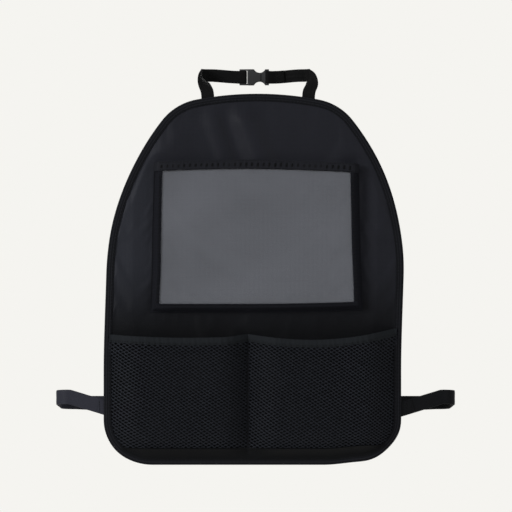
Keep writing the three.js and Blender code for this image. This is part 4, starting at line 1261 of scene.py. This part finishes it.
def seat_elastic(finish, thread):
    """The elastic from one side of the panel round the seat to the other."""
    back = GAP + SEAT_THICKNESS / 2
    outer = SEAT_SPAN / 2 - SEAT_THICKNESS / 2
    bend = SEAT_BEND
    slope = (SEAT_OUTER_Z - SEAT_PANEL_Z) / (outer - bend - PANEL_HALF_WIDTH)
    far_y = SEAT_DEPTH

    def height(y):
        return SEAT_OUTER_Z + (SEAT_FAR_Z - SEAT_OUTER_Z) * (y - back - SEAT_FALL) / (far_y - back)

    half = [Vector((PANEL_HALF_WIDTH - 9, back, SEAT_PANEL_Z - slope * 9))]
    for k in range(6):
        x = PANEL_HALF_WIDTH + (outer - bend - PANEL_HALF_WIDTH) * k / 6
        half.append(Vector((x, back + SEAT_FALL * k / 6, SEAT_PANEL_Z + slope * (x - PANEL_HALF_WIDTH))))
    near = back + SEAT_FALL
    for k in range(11):
        a = QUARTER * k / 10
        x, y = outer - bend + bend * math.sin(a), near + bend - bend * math.cos(a)
        half.append(Vector((x, y, height(y))))
    for k in range(1, 8):
        y = near + bend + (far_y - near - 2 * bend) * k / 8
        half.append(Vector((outer, y, height(y))))
    for k in range(11):
        a = QUARTER * k / 10
        x, y = outer - bend + bend * math.cos(a), far_y - bend + bend * math.sin(a)
        half.append(Vector((x, y, height(y))))
    for k in range(1, 12):
        half.append(Vector(((outer - bend) * (1 - k / 12), far_y, SEAT_FAR_Z)))
    path = half + [Vector((-p.x, p.y, p.z)) for p in reversed(half)]
    path.insert(len(half), Vector((0, far_y, SEAT_FAR_Z)))
    rings = strap_rings(path, [UP] * len(path), SEAT_WIDTH, SEAT_THICKNESS, 0.1)
    tape_piece("seat_elastic", rings, finish, ["seat_strap"], hung=False)
    seams = []
    for side in (-1, 1):
        # The end is doubled over where it leaves the panel, and sewn down.
        path = []
        for k in range(6):
            x = PANEL_HALF_WIDTH - 8 + 3.6 * k
            lift = SEAT_FALL * (x - PANEL_HALF_WIDTH) / (outer - bend - PANEL_HALF_WIDTH)
            y = back - SEAT_THICKNESS - 0.2 + max(lift, 0)
            path.append(Vector((side * x, y, SEAT_PANEL_Z + slope * (x - PANEL_HALF_WIDTH))))
        rings = strap_rings(path, [UP] * 6, SEAT_WIDTH - 0.6, 0.9, 0.1)
        name = "left_sewn_end" if side < 0 else "right_sewn_end"
        tape_piece(name, rings, finish, hung=False)
        for at in (path[3], path[5] - (path[5] - path[4]) * 0.4):
            rise = UP * (SEAT_WIDTH / 2 - 1.5)
            front = at + Vector((0, -0.65, 0))
            seams += seam_along([front - rise, front + rise], FORWARD, 2.6)
        for reach in (3.0, 6.5):
            z = SEAT_PANEL_Z - slope * reach
            at = Vector((side * (PANEL_HALF_WIDTH - reach), back + SEAT_THICKNESS / 2 + 0.15, z))
            seams += seam_along([at - rise, at + rise], BACKWARD, 2.6)
    stitches("seat_elastic_stitches", seams, thread, 0.6, 2.2, hung=False)


def buckle_piece(name, node, finish):
    """A moulding of the buckle: the model's own solid with its edges rounded, as a mould leaves them, and
    grown a little, so that no light comes between the two halves."""
    shape = bmesh.new()
    shape.from_mesh(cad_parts[node].data)
    bmesh.ops.remove_doubles(shape, verts=shape.verts, dist=1e-6)
    bmesh.ops.dissolve_limit(
        shape, angle_limit=math.radians(2), verts=shape.verts, edges=shape.edges
    )
    shape.normal_update()
    grown = [v.co + v.normal * (v.calc_shell_factor() * BUCKLE_GROWTH * MM) for v in shape.verts]
    for vertex, place in zip(shape.verts, grown):
        vertex.co = place
    edges = [e for e in shape.edges if len(e.link_faces) == 2 and e.calc_face_angle() > math.radians(28)]
    bmesh.ops.bevel(
        shape, geom=edges, offset=0.25 * MM, segments=2, profile=0.6, affect="EDGES", clamp_overlap=True
    )
    points = [v.co / MM for v in shape.verts]
    faces = [[v.index for v in f.verts] for f in shape.faces]
    shape.free()
    make_piece(name, points, faces, finish, [node], sharp=35, hung=False)


# The organizer

cloth = oxford_cloth()
# The binding gets painted shade in the grooves between its cords.
binding = ribbed_tape("polyester_binding_tape", "#0b0c0f", "#26272c", 1.6, 0.14, cord_groove_shade=0.8)
edge_tape = ribbed_tape("polyester_edge_tape", "#0d0e12", "#1a1b21", 1.6, 0.12)
hem_tape = ribbed_tape("polyester_hem_tape", "#101115", "#202127", 1.6, 0.12, 0.7, 0.1)
elastic = ribbed_tape("knitted_elastic", "#121416", "#24272b", 1.5, 0.16)
seat_elastic_finish = braided_elastic()
webbing = polypropylene_webbing()
vinyl = clear_vinyl()
net = knitted_net()
pile = hook_pile()
thread = sewing_thread()
acetal = moulded_acetal()

panel = oxford_panel(cloth)
bound_edge(binding, thread)
film = window_film(vinyl)
window_edge_tape(edge_tape, thread)
mouth_tape(hem_tape, thread)
closure_strip("closure_hooks", "closure_hook_strip", pile, -GAP - CLOSURE_THICKNESS)
closure_strip("closure_loops", "closure_loop_strip", pile, TAPE_BACK - TAPE_THICKNESS)
left_net = net_wall("left_net", "left_pocket_net", LEFT_POCKET, net)
right_net = net_wall("right_net", "right_pocket_net", RIGHT_POCKET, net)
elastic_top("left_elastic_top", "left_pocket_elastic", LEFT_POCKET, elastic, thread)
elastic_top("right_elastic_top", "right_pocket_elastic", RIGHT_POCKET, elastic, thread)
band = bottom_band(cloth, thread)
back_stitches(thread)
divider_seam(binding, thread)
headrest_straps(webbing, thread)
seat_elastic(seat_elastic_finish, thread)
buckle_piece("buckle_housing", "buckle_socket", acetal)
buckle_piece("buckle_prongs", "buckle_plug", acetal)

# Floor, light and camera


def plain_floor():
    """A pale floor well under the hanging organizer, as light as the backdrop where no shadow falls."""
    finish, tree = new_finish("pale_floor")
    where = add(tree, "ShaderNodeTexCoord", {}, "Object")
    cloud = patches(tree, where, 400)
    shade = add(tree, "ShaderNodeMix", {0: cloud, 6: "#efeeea", 7: "#f5f4f0"}, 2, data_type="RGBA")
    seen = add(tree, "ShaderNodeLightPath", {}, "Is Camera Ray")
    glow = add(tree, "ShaderNodeMath", {0: seen, 1: FLOOR_LIFT}, operation="MULTIPLY")
    look = {"Base Color": shade, "Roughness": 0.9, "Emission Color": "#f5f4f0", "Emission Strength": glow}
    add(tree, "ShaderNodeOutputMaterial", {0: add(tree, "ShaderNodeBsdfPrincipled", look)})
    mesh = bpy.data.meshes.new("floor")
    reach, height = 1.1, -0.42
    spots = [
        (reach * math.cos(a * math.pi / 32), reach * math.sin(a * math.pi / 32), height) for a in range(64)
    ]
    mesh.from_pydata(spots, [], [tuple(range(64))])
    mesh.materials.append(finish)
    floor = bpy.data.objects.new("floor", mesh)
    bpy.context.scene.collection.objects.link(floor)


def soft_lamp(name, place, target, size, watts):
    lamp = bpy.data.lights.new(name, "AREA")
    lamp.shape = "DISK"
    lamp.size = size
    lamp.energy = watts
    holder = bpy.data.objects.new(name, lamp)
    holder.location = place
    holder.rotation_euler = (Vector(target) - Vector(place)).to_track_quat("-Z", "Y").to_euler()
    bpy.context.scene.collection.objects.link(holder)


def pale_world():
    """Pale to the camera, and a plain soft light on the object."""
    world = bpy.data.worlds.new("studio")
    world.use_nodes = True
    tree = world.node_tree
    tree.nodes.clear()
    path = add(tree, "ShaderNodeLightPath", {}).node.outputs
    rays = {0: path["Is Camera Ray"], 1: path["Is Transmission Ray"]}
    seen = add(tree, "ShaderNodeMath", rays, operation="MAXIMUM")
    soft = add(tree, "ShaderNodeBackground", {"Color": "#fbfaf7", "Strength": 0.36})
    pale = add(tree, "ShaderNodeBackground", {"Color": "#f5f4f0", "Strength": 1.0})
    both = add(tree, "ShaderNodeMixShader", {0: seen, 1: soft, 2: pale})
    add(tree, "ShaderNodeOutputWorld", {0: both})
    bpy.context.scene.world = world


def front_camera():
    """A long lens square to the panel: 512 pixels cover 599 mm at the panel."""
    camera = bpy.data.cameras.new("camera")
    distance = 3.0
    camera.sensor_width = 36
    camera.lens = 36 * distance / 0.599
    camera.clip_start, camera.clip_end = 0.1, 20
    holder = bpy.data.objects.new("camera", camera)
    holder.location = (0.0005, -distance, 0.0272)
    holder.rotation_euler = (QUARTER, 0, 0)
    bpy.context.scene.collection.objects.link(holder)
    bpy.context.scene.camera = holder


bpy.context.scene.view_settings.view_transform = "Standard"
plain_floor()
pale_world()
soft_lamp("key", (-2.4, -1.68, 0.96), (0, 0, 0), 1.1, 60)
soft_lamp("fill", (1.7, -1.8, 0.7), (0, 0, 0), 1.3, 11)
soft_lamp("back", (0.5, 2.1, 1.5), (0, 0, 0), 1.4, 26)
front_camera()
